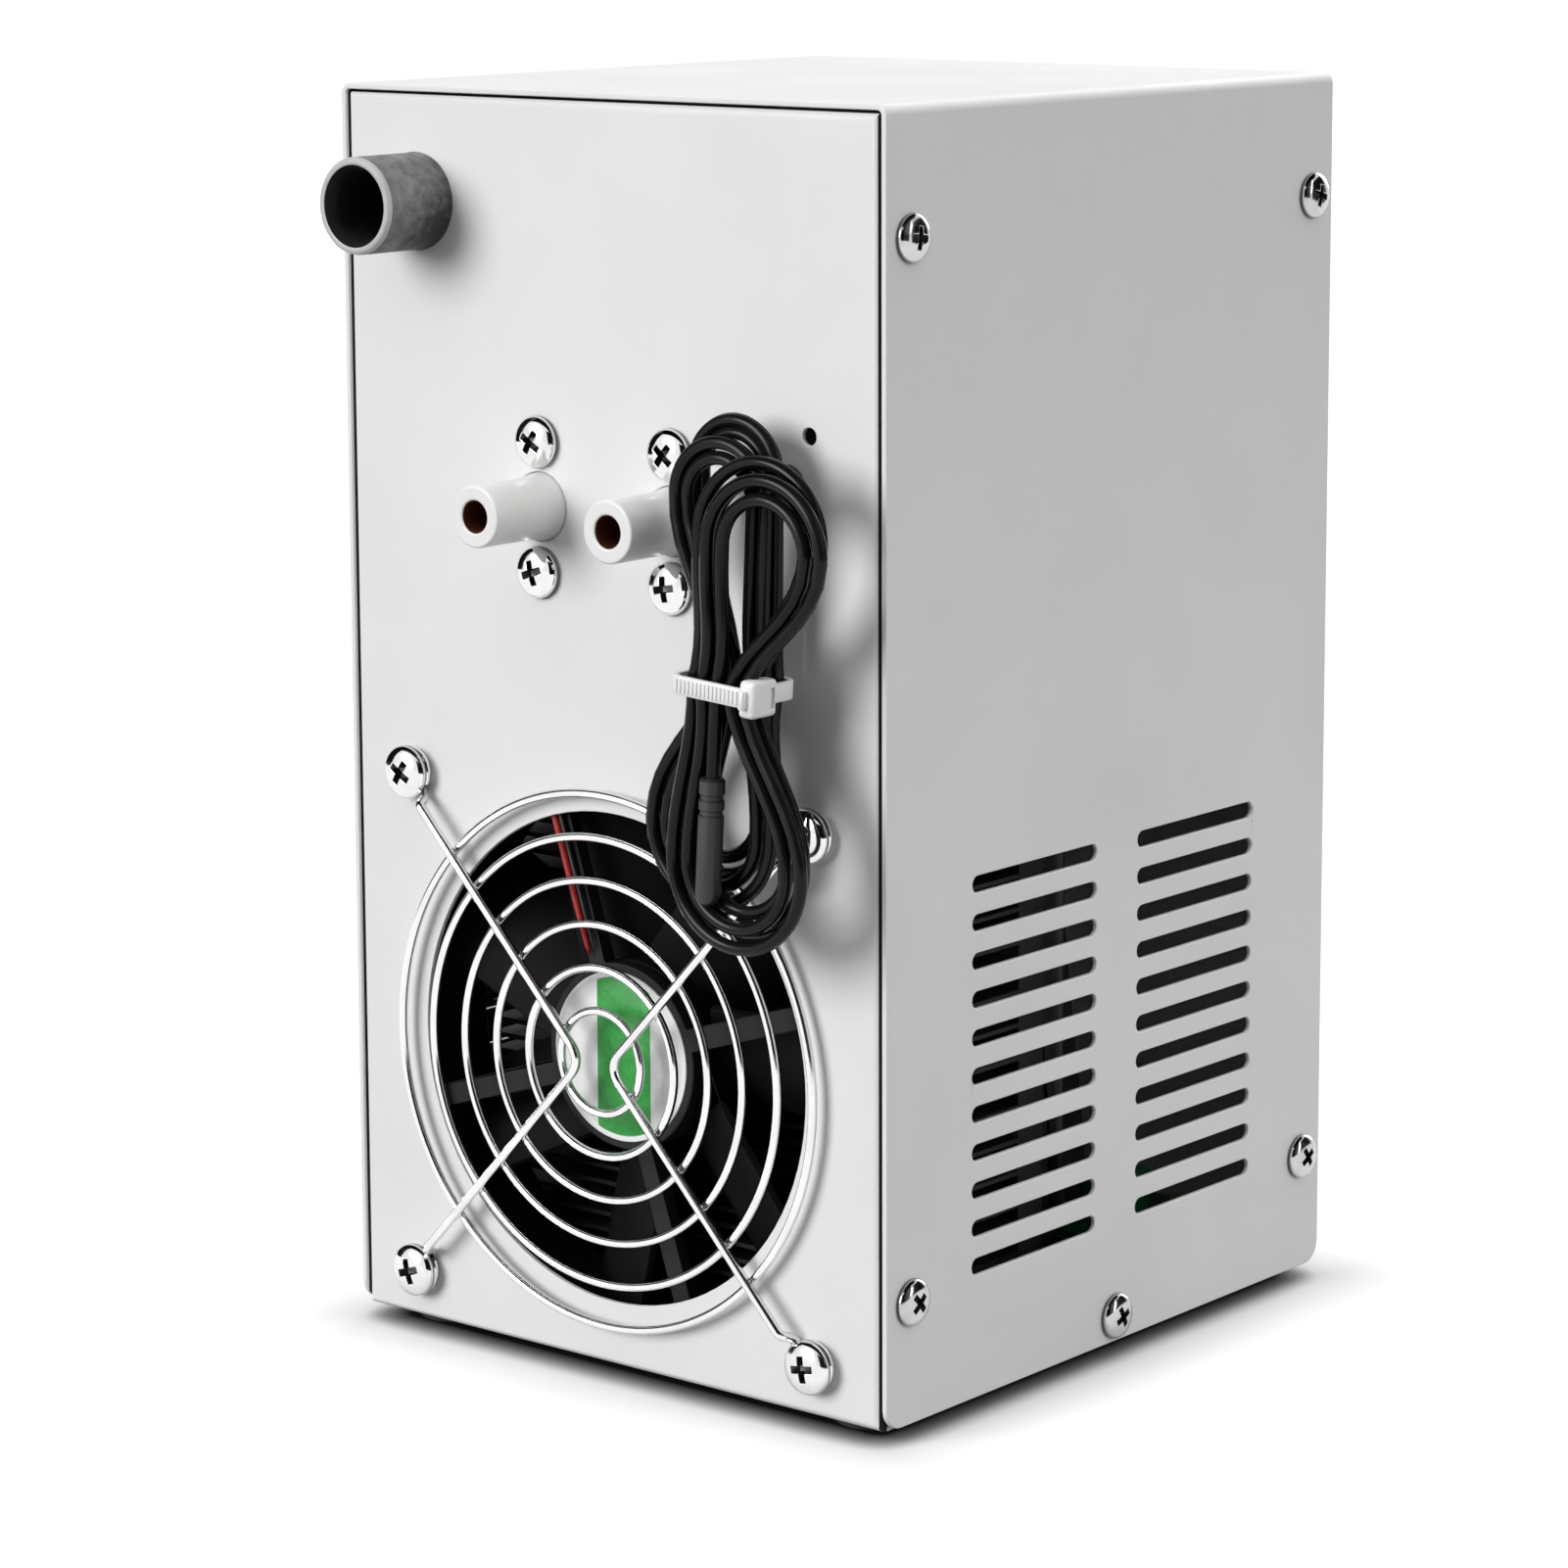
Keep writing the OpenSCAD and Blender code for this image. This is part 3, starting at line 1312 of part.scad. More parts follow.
module control_lead() {
    z = foot_h + thermo_z;
    color([0.1, 0.1, 0.1]) tube(routed([[control_lead_x, front_y - thermo_len, z],
        [control_lead_x, lead_back_y, z], [control_lead_x, lead_back_y, terminal_z],
        [control_lead_x, terminal_y, terminal_z]], lead_turn), lead_d, lead_sides);
}

// Sensor lead

module cord_grommet() {
    color([0.1, 0.1, 0.1]) in_hank() translate([hank_end_x, 0, exit_z]) rotate([90, 0, 0]) {
        cylinder(d = grommet_d, h = grommet_t);
        translate([0, 0, -sheet - grommet_t]) cylinder(d = grommet_neck_d, h = sheet + 2 * grommet_t);
        translate([0, 0, -sheet - grommet_t])
            cylinder(d = (grommet_d + grommet_neck_d) / 2, h = grommet_t);
    }
}

module sensor_lead() {
    x = hank_x + hank_end_x * cos(hank_lean) + exit_z * sin(hank_lean);
    z = foot_h + hank_z + exit_z * cos(hank_lean) - hank_end_x * sin(hank_lean);
    thermo = foot_h + thermo_z;
    color([0.1, 0.1, 0.1]) tube(routed([[x, panel_y + sheet + grommet_t, z],
        [x, fan_back_y + lead_turn, z], [sensor_lead_x, lead_back_y, thermo],
        [sensor_lead_x, front_y - thermo_len, thermo]], lead_turn), cord_d, lead_sides);
}

module sensor_cord() {
    color([0.08, 0.08, 0.08]) in_hank() tube(cord_route, cord_d, 8);
}

function smooth(u) = let (v = min(max(u, 0), 1)) v * v * (3 - 2 * v);
// Depth of the path after t loops: it climbs a layer along the run where the spiral turns back
function hank_depth(t) = let (half = run_steps / 2 / stations, layers = hank_loops / hank_layer_loops)
    -hank_stand - layer_pitch * (layers < 2 ? 0 : [for (k = [1:layers - 1]) 1]
        * [for (k = [1:layers - 1]) smooth((t - k * hank_layer_loops + half) / (2 * half))]);
// Distance of a run from the hank's middle at height z, drawn in at the waist, inset by e
function run_at(e, z) = fold_r - e - waist_draw * pow(cos(90 * z / run_half), 2);
// Point of the path after t loops, which spiral out and in again by loop_step a loop
function hank_point(t) = let (
    s = (t * stations + run_steps * 1.5 + fold_steps) % stations,
    e = loop_step * abs(hank_layer_loops - t % (2 * hank_layer_loops)),
    y = hank_depth(t),
    down = s >= run_steps + fold_steps,
    u = down ? s - run_steps - fold_steps : s,
    side = down ? -1 : 1,
    rise = 2 * run_half * u / run_steps - run_half,
    turn = 180 * (u - run_steps) / fold_steps)
    u < run_steps ? [side * run_at(e, rise), y, side * rise]
        : [side * (fold_r - e) * cos(turn), y, side * (run_half + (fold_r - e) * sin(turn))];
function hank_path(n) = concat(
    [for (z = [hank_lead_in, hank_lead_in - cord_d, run_half / 2]) [hank_end_x, -hank_stand, z]],
    [for (i = [0:hank_loops * n]) hank_point(i / n)],
    [for (z = [-hank_lead_out / 2, cord_d - hank_lead_out, -hank_lead_out])
        [hank_end_x, last_layer_y, z]]);
function path_length(p) = [for (i = [1:len(p) - 1]) 1] * [for (i = [1:len(p) - 1]) norm(p[i] - p[i - 1])];
function least_gap(p, skip) = min([for (i = [0:len(p) - 1 - skip], j = [i + skip:len(p) - 1])
    norm(p[i] - p[j])]) - cord_d;

module sensor_hank() {
    echo(hank_gap = least_gap(hank_path(2 * stations), stations / 2),
        hank_length = path_length(hank_path(4 * stations)), cord_length = path_length(cord_route));
    color([0.08, 0.08, 0.08]) in_hank() tube(hank_path(stations), cord_d, hank_sides);
}

module cable_tie() {
    w = tie_right - tie_left;
    d = tie_back - tie_front;
    color("white") in_hank() {
        translate([(tie_right + tie_left) / 2, (tie_back + tie_front) / 2, 0])
            linear_extrude(tie_w, center = true) difference() {
                rounded_rect(w + 2 * tie_t, d + 2 * tie_t, tie_corner_r + tie_t);
                rounded_rect(w, d, tie_corner_r);
            }
        translate([tie_right + tie_t / 2, tie_front - tie_t, -tie_head.y / 2])
            cube([tie_head.z, tie_head.x, tie_head.y]);
    }
}

module sensor_probe() {
    color([0.12, 0.12, 0.12]) in_hank()
        translate([hank_end_x, last_layer_y, probe_d / 2 - hank_lead_out - probe_len])
            rotate_extrude() intersection() {
                union() {
                    translate([-probe_d / 2, 0]) square([probe_d, probe_len - probe_d / 2]);
                    circle(d = probe_d);
                }
                translate([0, -probe_d / 2]) square([probe_d / 2, probe_len]);
            }
}

chassis();
cover();
cover_screws();
rivet_nuts();
rubber_feet();
fan_frame();
fan_rotor();
fan_shaft();
fan_magnet();
fan_bearings();
fan_stator();
fan_label();
fan_guard();
guard_screws();
fan_lead_red();
fan_lead_black();
heat_sink();
sink_brackets();
bracket_screws();
thermo_modules();
module_gasket();
module_lead_red();
module_lead_black();
water_block();
block_nipples();
clamp_screws();
insulation_cap();
inner_hoses();
hose_clips();
hose_stub_left();
hose_stub_right();
stub_screws();
stub_nuts();
power_sleeve();
power_socket();
socket_nut();
power_lead();
power_board();
board_standoffs();
board_relay();
board_capacitor();
board_terminals();
thermostat_case();
thermostat_clips();
display_window();
digit_display();
control_board();
key_switches();
button_power();
button_set();
button_up();
button_down();
control_lead();
cord_grommet();
sensor_lead();
sensor_cord();
sensor_hank();
cable_tie();
sensor_probe();
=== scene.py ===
"""Looks of the aquarium chiller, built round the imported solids, in metres.

Each class below is one sub-assembly of the chiller. It holds its sizes as fields, models its
pieces, gives them their finishes and hangs them on the body that they move with.
"""

import logging
import math
from collections.abc import Callable, Iterable, Sequence
from dataclasses import dataclass
from enum import Enum
from typing import ClassVar

import bmesh
import bpy
from mathutils import Matrix, Vector


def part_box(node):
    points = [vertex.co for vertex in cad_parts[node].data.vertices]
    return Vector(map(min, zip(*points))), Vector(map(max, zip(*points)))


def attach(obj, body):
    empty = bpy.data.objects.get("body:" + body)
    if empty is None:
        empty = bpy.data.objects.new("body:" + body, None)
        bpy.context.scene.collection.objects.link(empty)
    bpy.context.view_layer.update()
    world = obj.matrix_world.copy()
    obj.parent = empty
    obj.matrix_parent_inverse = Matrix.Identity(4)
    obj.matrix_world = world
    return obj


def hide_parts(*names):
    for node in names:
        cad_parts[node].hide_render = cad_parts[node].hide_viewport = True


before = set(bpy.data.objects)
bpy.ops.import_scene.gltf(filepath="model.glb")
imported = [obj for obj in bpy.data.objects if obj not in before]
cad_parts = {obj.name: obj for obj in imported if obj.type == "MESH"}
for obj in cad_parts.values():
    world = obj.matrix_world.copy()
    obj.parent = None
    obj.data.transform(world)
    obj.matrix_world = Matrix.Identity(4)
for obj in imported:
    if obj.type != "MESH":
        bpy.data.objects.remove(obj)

LOG = logging.getLogger("chiller")
MM = 0.001
Piece = bpy.types.Object
Pair = tuple[float, float]
Point = tuple[float, float, float]
Colour = tuple[float, float, float]
Shade = tuple[float, float, float, float]
Box = tuple[Point, Point]
Socket = bpy.types.NodeSocket

# Rounding that still leaves an edge sharp, and the distance at which doubled points merge
SHARP = 0.0001 * MM
MERGE = 0.002 * MM


# Finishes


class Graph:
    """Adds nodes to one node tree and wires them."""

    def __init__(self, tree: bpy.types.NodeTree) -> None:
        """Takes the tree that the nodes go into."""
        self.tree = tree

    def put(self, socket: Socket, value: object) -> None:
        """Feeds a socket.

        Args:
            socket: The input to feed.
            value: Another node's output, or a plain value.
        """
        if isinstance(value, Socket):
            self.tree.links.new(value, socket)
        else:
            socket.default_value = value

    def add(self, kind: str, inputs: dict | None = None, **settings: object) -> bpy.types.Node:
        """Adds a node.

        Args:
            kind: The node's type without its ShaderNode prefix.
            inputs: Values or outputs for its inputs, by name or number.
            settings: The node's own settings.

        Returns:
            The new node.
        """
        prefix = "" if kind.startswith("Node") else "ShaderNode"
        node = self.tree.nodes.new(prefix + kind)
        for name, value in settings.items():
            setattr(node, name, value)
        for key, value in (inputs or {}).items():
            self.put(node.inputs[key], value)
        return node

    def sum_up(self, operation: str, first: object, second: object, clamp: bool = False) -> Socket:
        """Does one sum.

        Args:
            operation: The Math node's operation.
            first: Its first value.
            second: Its second value.
            clamp: Whether the result stays from 0 to 1.

        Returns:
            The result's socket.
        """
        node = self.add("Math", {0: first, 1: second}, operation=operation, use_clamp=clamp)
        return node.outputs[0]

    def span(self, value: Socket, low: float, high: float, out: Pair = (0.0, 1.0)) -> Socket:
        """Maps low to high onto the range out, without going past it, and returns the socket."""
        node = self.add("MapRange", {0: value, 1: low, 2: high, 3: out[0], 4: out[1]})
        return node.outputs[0]

    def blend(self, share: Socket, first: object, second: object) -> Socket:
        """Mixes two colours by a share and returns the socket."""
        node = self.add("Mix", {0: share, 6: first, 7: second}, data_type="RGBA")
        return node.outputs[2]


def grey(level: float) -> Shade:
    """Grey of a level, as a node takes it."""
    return (level, level, level, 1.0)


def blank_material(name: str) -> Graph:
    """Starts an empty material and returns its graph."""
    made = bpy.data.materials.new(name)
    made.use_nodes = True
    made.node_tree.nodes.clear()
    return Graph(made.node_tree)


class Texture(Enum):
    """How a surface's fine relief is made."""

    NOISE = "noise"
    CELLS = "cells"
    TRACKS = "tracks"
    BANDS = "bands"


@dataclass(frozen=True)
class Weave:
    """Fine relief and wide tone of one kind of surface.

    Attributes:
        texture: How the fine relief is made.
        scale: Fine features to the metre.
        depth: Height of the fine relief, in metres.
        stretch: Factors on X, Y and Z, small along the direction of drawn or brushed lines.
        tone_scale: Wide features to the metre.
        detail: Octaves of the fine relief.
        swing: How far the roughness moves on both sides of its value.
        strength: Strength of the relief.
    """

    texture: Texture
    scale: float
    depth: float
    stretch: Point = (1.0, 1.0, 1.0)
    tone_scale: float = 30.0
    detail: float = 3.0
    swing: float = 0.06
    strength: float = 0.4


class Grain(Enum):
    """The kinds of surface on the chiller."""

    POWDER = Weave(Texture.NOISE, 1150.0, 0.00005, tone_scale=22.0, swing=0.08, strength=0.3)
    PLATED = Weave(Texture.NOISE, 700.0, 0.00001, tone_scale=210.0, swing=0.07, strength=0.2)
    DRAWN = Weave(Texture.NOISE, 900.0, 0.00001, tone_scale=120.0, swing=0.05, strength=0.2)
    BRUSHED = Weave(Texture.NOISE, 1800.0, 0.00003, stretch=(0.03, 1.0, 1.0), swing=0.1)
    CAST = Weave(Texture.NOISE, 1400.0, 0.00006, tone_scale=60.0, swing=0.1)
    MOULDED = Weave(Texture.NOISE, 1900.0, 0.00003, tone_scale=45.0, swing=0.06, strength=0.3)
    SKIN = Weave(Texture.NOISE, 420.0, 0.00008, tone_scale=170.0, detail=5.0, swing=0.12)
    FOAM = Weave(Texture.CELLS, 900.0, 0.0002, tone_scale=80.0, strength=0.8)
    JACKET = Weave(Texture.NOISE, 1300.0, 0.00002, tone_scale=140.0, swing=0.05, strength=0.25)
    BOARD = Weave(Texture.TRACKS, 260.0, 0.00006, tone_scale=90.0)
    WOUND = Weave(Texture.BANDS, 900.0, 0.00018, tone_scale=200.0, strength=0.8)

    def relief(self, graph: Graph, spot: Socket) -> Socket:
        """Builds the fine relief.

        Args:
            graph: The group's graph.
            spot: The socket with the surface's coordinates.

        Returns:
            The height's socket, about 0 to 1.
        """
        weave = self.value
        if weave.texture is Texture.CELLS:
            node = graph.add("TexVoronoi", {"Vector": spot, "Scale": weave.scale})
            return graph.span(node.outputs["Distance"], 0.0, 0.6, (1.0, 0.0))
        if weave.texture is Texture.TRACKS:
            node = graph.add(
                "TexVoronoi",
                {"Vector": spot, "Scale": weave.scale, "Randomness": 0.35},
                distance="MANHATTAN",
                feature="F1",
            )
            ring = graph.sum_up("PINGPONG", node.outputs["Distance"], 0.22)
            return graph.span(ring, 0.08, 0.12)
        if weave.texture is Texture.BANDS:
            node = graph.add("TexWave", {"Vector": spot, "Scale": weave.scale, "Distortion": 0.6})
            return node.outputs["Fac"]
        node = graph.add("TexNoise", {"Vector": spot, "Scale": weave.scale, "Detail": weave.detail})
        return node.outputs["Fac"]

    def group(self) -> bpy.types.NodeTree:
        """Builds the grain's shared node group, once.

        Returns:
            A group from two colours and a roughness to a colour, a roughness and a normal.
        """
        name = f"grain_{self.name.lower()}"
        if name in bpy.data.node_groups:
            return bpy.data.node_groups[name]
        weave = self.value
        tree = bpy.data.node_groups.new(name, "ShaderNodeTree")
        for socket, kind in (("Colour", "Color"), ("Tone", "Color"), ("Roughness", "Float")):
            tree.interface.new_socket(socket, in_out="INPUT", socket_type=f"NodeSocket{kind}")
        for socket, kind in (("Colour", "Color"), ("Roughness", "Float"), ("Normal", "Vector")):
            tree.interface.new_socket(socket, in_out="OUTPUT", socket_type=f"NodeSocket{kind}")
        graph = Graph(tree)
        given = graph.add("NodeGroupInput").outputs
        space = graph.add("TexCoord").outputs["Object"]
        spot = graph.add("Mapping", {"Vector": space, "Scale": weave.stretch}).outputs[0]
        height = self.relief(graph, spot)
        wide = graph.add("TexNoise", {"Vector": space, "Scale": weave.tone_scale, "Detail": 4.0})
        mask = graph.span(wide.outputs["Fac"], 0.35, 0.68)
        both = graph.sum_up("ADD", graph.sum_up("MULTIPLY", height, 0.35), mask)
        shade = graph.sum_up("MULTIPLY", both, 0.75, clamp=True)
        drift = graph.span(shade, 0.0, 1.0, (-weave.swing, weave.swing))
        bump = graph.add("Bump", {"Height": height, "Strength": weave.strength, "Distance": weave.depth})
        out = graph.add("NodeGroupOutput").inputs
        graph.put(out["Colour"], graph.blend(shade, given["Colour"], given["Tone"]))
        graph.put(out["Roughness"], graph.sum_up("ADD", given["Roughness"], drift, clamp=True))
        graph.put(out["Normal"], bump.outputs[0])
        return tree


@dataclass(frozen=True)
class Finish:
    """One finish of the chiller.

    Attributes:
        slot: The record's material slot.
        colour: Main colour.
        tone: The colour that it drifts to.
        roughness: Middle roughness.
        grain: Kind of surface.
        metal: Metallic share.
        coat: Clear coat on top.
        clear: Share of light that goes through.
        gloss: Level of the reflection of what isn't metal.
    """

    slot: str
    colour: Colour
    tone: Colour
    roughness: float
    grain: Grain
    metal: float = 0.0
    coat: float = 0.0
    clear: float = 0.0
    gloss: float = 0.5

    @property
    def title(self) -> str:
        """Name of the finish's material."""
        return f"finish_{self.slot}_{int(255 * self.colour[0])}_{int(100 * self.roughness)}"

    def paint(self, graph: Graph, colour: Socket, roughness: Socket, normal: Socket) -> None:
        """Ends a material in its shader.

        Args:
            graph: The material's graph.
            colour: Colour socket.
            roughness: Roughness socket.
            normal: Normal socket.
        """
        inputs = {
            "Base Color": colour,
            "Roughness": roughness,
            "Normal": normal,
            "Metallic": self.metal,
            "Coat Weight": self.coat,
            "Coat Roughness": 0.12,
            "Transmission Weight": self.clear,
            "Specular IOR Level": self.gloss,
        }
        shader = graph.add("BsdfPrincipled", inputs)
        graph.put(graph.add("OutputMaterial").inputs["Surface"], shader.outputs[0])

    def grained(self, graph: Graph) -> list[Socket]:
        """Adds the finish's grain and returns its colour, roughness and normal."""
        inputs = {"Colour": (*self.colour, 1.0), "Tone": (*self.tone, 1.0), "Roughness": self.roughness}
        grain = graph.add("Group", inputs, node_tree=self.grain.group())
        return [grain.outputs[key] for key in ("Colour", "Roughness", "Normal")]

    def shade(self, graph: Graph) -> None:
        """Wires the finish's look into an empty material."""
        self.paint(graph, *self.grained(graph))

    def material(self) -> bpy.types.Material:
        """Builds the finish's material, once, and returns it."""
        if self.title not in bpy.data.materials:
            self.shade(blank_material(self.title))
        return bpy.data.materials[self.title]


@dataclass(frozen=True)
class LabelFilm(Finish):
    """Printed film on the fan's hub: a green band on white inside a silver rim.

    Attributes:
        centre: The label's middle.
        radius: The label's radius.
        band: The green band's two edges, as shares of the radius.
        rim: The silver rim's two inner edges, as shares of the radius.
        edge: Softness of the band's edges.
        paper: Colour of the paper left of the band.
        shaded: Colour of the paper right of the band.
        silver: Colour of the rim.
        greens: The two greens of the band.
    """

    centre: Point = (0.0, 0.0, 0.0)
    radius: float = 17.3 * MM
    band: Pair = (-0.35, 0.46)
    rim: Pair = (0.93, 0.94)
    edge: float = 0.12 * MM
    paper: Shade = (0.84, 0.83, 0.84, 1.0)
    shaded: Shade = (0.66, 0.645, 0.67, 1.0)
    silver: Shade = (0.86, 0.86, 0.87, 1.0)
    greens: tuple[Shade, Shade] = ((0.005, 0.17, 0.015, 1.0), (0.03, 0.42, 0.06, 1.0))

    def shade(self, graph: Graph) -> None:
        """Wires the printed fields, which lie on the film's own plane, into the material.

        Args:
            graph: The material's graph.
        """
        place = graph.add("TexCoord").outputs["Object"]
        away = graph.add("VectorMath", {0: place, 1: self.centre}, operation="SUBTRACT").outputs[0]
        split = graph.add("SeparateXYZ", {0: away}).outputs
        flat = graph.add("CombineXYZ", {"X": split["X"], "Z": split["Z"]}).outputs[0]
        reach = graph.add("VectorMath", {0: flat}, operation="LENGTH").outputs["Value"]
        low, high = (self.radius * share for share in self.band)
        left = graph.span(split["X"], low, low + self.edge)
        right = graph.span(split["X"], high, high + self.edge, (1.0, 0.0))
        green = graph.sum_up("MULTIPLY", left, right)
        ink = graph.add("TexNoise", {"Vector": place, "Scale": 900.0, "Detail": 3.0}).outputs["Fac"]
        side = graph.blend(right, self.shaded, self.paper)
        face = graph.blend(green, graph.blend(ink, side, grey(0.86)), graph.blend(ink, *self.greens))
        inner, outer = (self.radius * share for share in self.rim)
        rim = graph.span(reach, inner, outer)
        bump = graph.add("Bump", {"Height": ink, "Strength": 0.15, "Distance": 0.03 * MM})
        roughness = graph.span(rim, 0.0, 1.0, (0.34, 0.2))
        self.paint(graph, graph.blend(rim, face, self.silver), roughness, bump.outputs[0])


@dataclass(frozen=True)
class FootShadedRubber(Finish):
    """Mottled rubber with painted shade towards its foot and its underside.

    Attributes:
        foot_y: Where its foot is.
        length: How far the painted shade reaches from the foot.
        axis_z: Height of its axis.
        radius: Its radius.
    """

    foot_y: float = -67.95 * MM
    length: float = 15.0 * MM
    axis_z: float = 235.0 * MM
    radius: float = 9.8 * MM

    def shade(self, graph: Graph) -> None:
        """Wires the grain, with random mottle and painted shade over it, into the material.

        Args:
            graph: The material's graph.
        """
        place = graph.add("TexCoord").outputs["Object"]
        split = graph.add("SeparateXYZ", {0: place}).outputs
        # Painted shade: darker towards the foot and, near the foot, on the underside; the noise adds random
        # mottle
        near = graph.span(split["Y"], self.foot_y - self.length, self.foot_y)
        under = graph.span(split["Z"], self.axis_z + self.radius * 0.6, self.axis_z - self.radius * 0.7)
        stain = graph.add("TexNoise", {"Vector": place, "Scale": 480.0, "Detail": 8.0}).outputs["Fac"]
        patch = graph.span(stain, 0.3, 0.7, (-0.3, 0.3))
        below = graph.sum_up("MULTIPLY", under, graph.span(near, 0.0, 1.0, (0.45, 0.95)))
        share = graph.sum_up("ADD", graph.sum_up("MULTIPLY", near, 0.45), below)
        share = graph.sum_up("ADD", share, patch, clamp=True)
        colour, roughness, normal = self.grained(graph)
        self.paint(graph, graph.blend(share, colour, grey(0.03)), roughness, normal)


class Finishes:
    """Every finish of the chiller by its plain name."""

    POWDER = Finish("powder_white", (0.83, 0.83, 0.828), (0.775, 0.775, 0.772), 0.45, Grain.POWDER)
    # Painted shade: near black on the chassis's bends in the gap beside the cover
    SEAM_SHADE = Finish("powder_white", (0.03, 0.025, 0.02), (0.015, 0.012, 0.01), 0.7, Grain.POWDER, gloss=0.1)
    # Painted shade: near black on the cover's inner side
    INSIDE_SHADE = Finish(
        "powder_white", (0.035, 0.033, 0.03), (0.02, 0.019, 0.017), 0.6, Grain.POWDER, gloss=0.15,
    )
    NICKEL = Finish("screw_nickel", (0.86, 0.86, 0.85), (0.74, 0.74, 0.73), 0.1, Grain.PLATED, metal=1.0)
    # Painted shade: near black in the screws' cross recesses
    RECESS_SHADE = Finish("screw_nickel", (0.05, 0.05, 0.05), (0.14, 0.14, 0.14), 0.35, Grain.PLATED, metal=1.0)
    # Painted shade: a darker copy of the nickel for the cover screws on the case's shaded sides
    SHADED_NICKEL = Finish(
        "screw_nickel", (0.6, 0.6, 0.595), (0.48, 0.48, 0.475), 0.13, Grain.PLATED, metal=1.0,
    )
    # Painted shade: dark nickel on the flank at the foot of the screws' heads
    FLANK_SHADE = Finish("screw_nickel", (0.22, 0.22, 0.22), (0.12, 0.12, 0.12), 0.3, Grain.PLATED, metal=1.0)
    WIRE = Finish("guard_wire", (0.9, 0.9, 0.9), (0.8, 0.8, 0.8), 0.14, Grain.DRAWN, metal=1.0)
    ZINC = Finish("zinc", (0.6, 0.61, 0.63), (0.42, 0.43, 0.45), 0.36, Grain.PLATED, metal=1.0)
    RUBBER = Finish("rubber_black", (0.02, 0.02, 0.02), (0.04, 0.04, 0.04), 0.62, Grain.SKIN)
    FAN = Finish("fan_black", (0.008, 0.008, 0.009), (0.014, 0.014, 0.015), 0.48, Grain.MOULDED, gloss=0.22)
    # Painted shade: a darker, duller copy of the fan black for the rotor deep inside the fan
    SHADED_BLADES = Finish(
        "fan_black", (0.004, 0.004, 0.004), (0.009, 0.009, 0.009), 0.6, Grain.MOULDED, gloss=0.08,
    )
    STEEL = Finish("shaft_steel", (0.7, 0.7, 0.71), (0.5, 0.5, 0.52), 0.22, Grain.BRUSHED, metal=1.0)
    MAGNET = Finish("magnet", (0.05, 0.05, 0.055), (0.09, 0.09, 0.09), 0.6, Grain.CAST)
    BRONZE = Finish("bearing_bronze", (0.5, 0.33, 0.14), (0.34, 0.21, 0.08), 0.4, Grain.CAST, metal=1.0)
    WINDING = Finish("stator", (0.42, 0.16, 0.05), (0.24, 0.08, 0.03), 0.3, Grain.WOUND, metal=0.8)
    RED = Finish("wire_red", (0.42, 0.015, 0.012), (0.3, 0.01, 0.01), 0.36, Grain.JACKET)
    BLACK = Finish("wire_black", (0.012, 0.012, 0.012), (0.025, 0.025, 0.025), 0.36, Grain.JACKET)
    ALUMINIUM = Finish("aluminium", (0.5, 0.51, 0.53), (0.34, 0.35, 0.37), 0.34, Grain.BRUSHED, metal=1.0)
    # Dark aluminium of the heat sink, which keeps the view through the slots nearly black
    DARK_ALUMINIUM = Finish(
        "aluminium", (0.035, 0.035, 0.037), (0.06, 0.06, 0.063), 0.5, Grain.BRUSHED, metal=0.6, gloss=0.3,
    )
    CERAMIC = Finish("ceramic", (0.78, 0.78, 0.75), (0.68, 0.68, 0.65), 0.5, Grain.CAST)
    FOAM = Finish("foam", (0.012, 0.012, 0.013), (0.028, 0.028, 0.03), 0.85, Grain.FOAM, gloss=0.2)
    HOSE = Finish("hose_clear", (0.7, 0.7, 0.64), (0.58, 0.58, 0.52), 0.3, Grain.SKIN, clear=0.35)
    STUB = Finish("stub_white", (0.86, 0.86, 0.855), (0.81, 0.81, 0.8), 0.34, Grain.MOULDED)
    # Painted shade: dark red-brown in the hose stubs' bores
    STUB_BORE_SHADE = Finish(
        "stub_white", (0.13, 0.04, 0.022), (0.08, 0.025, 0.014), 0.45, Grain.MOULDED, gloss=0.2,
    )
    # Painted shade: the sleeve's rubber darkens towards its foot and its underside
    SLEEVE = FootShadedRubber("sleeve_grey", (0.27, 0.27, 0.265), (0.16, 0.16, 0.16), 0.5, Grain.SKIN)
    # Painted light: a lighter copy of the rubber on the sleeve's rolled mouth, which faces the light
    SLEEVE_LIT_LIP = Finish("sleeve_grey", (0.56, 0.56, 0.55), (0.46, 0.46, 0.45), 0.4, Grain.SKIN)
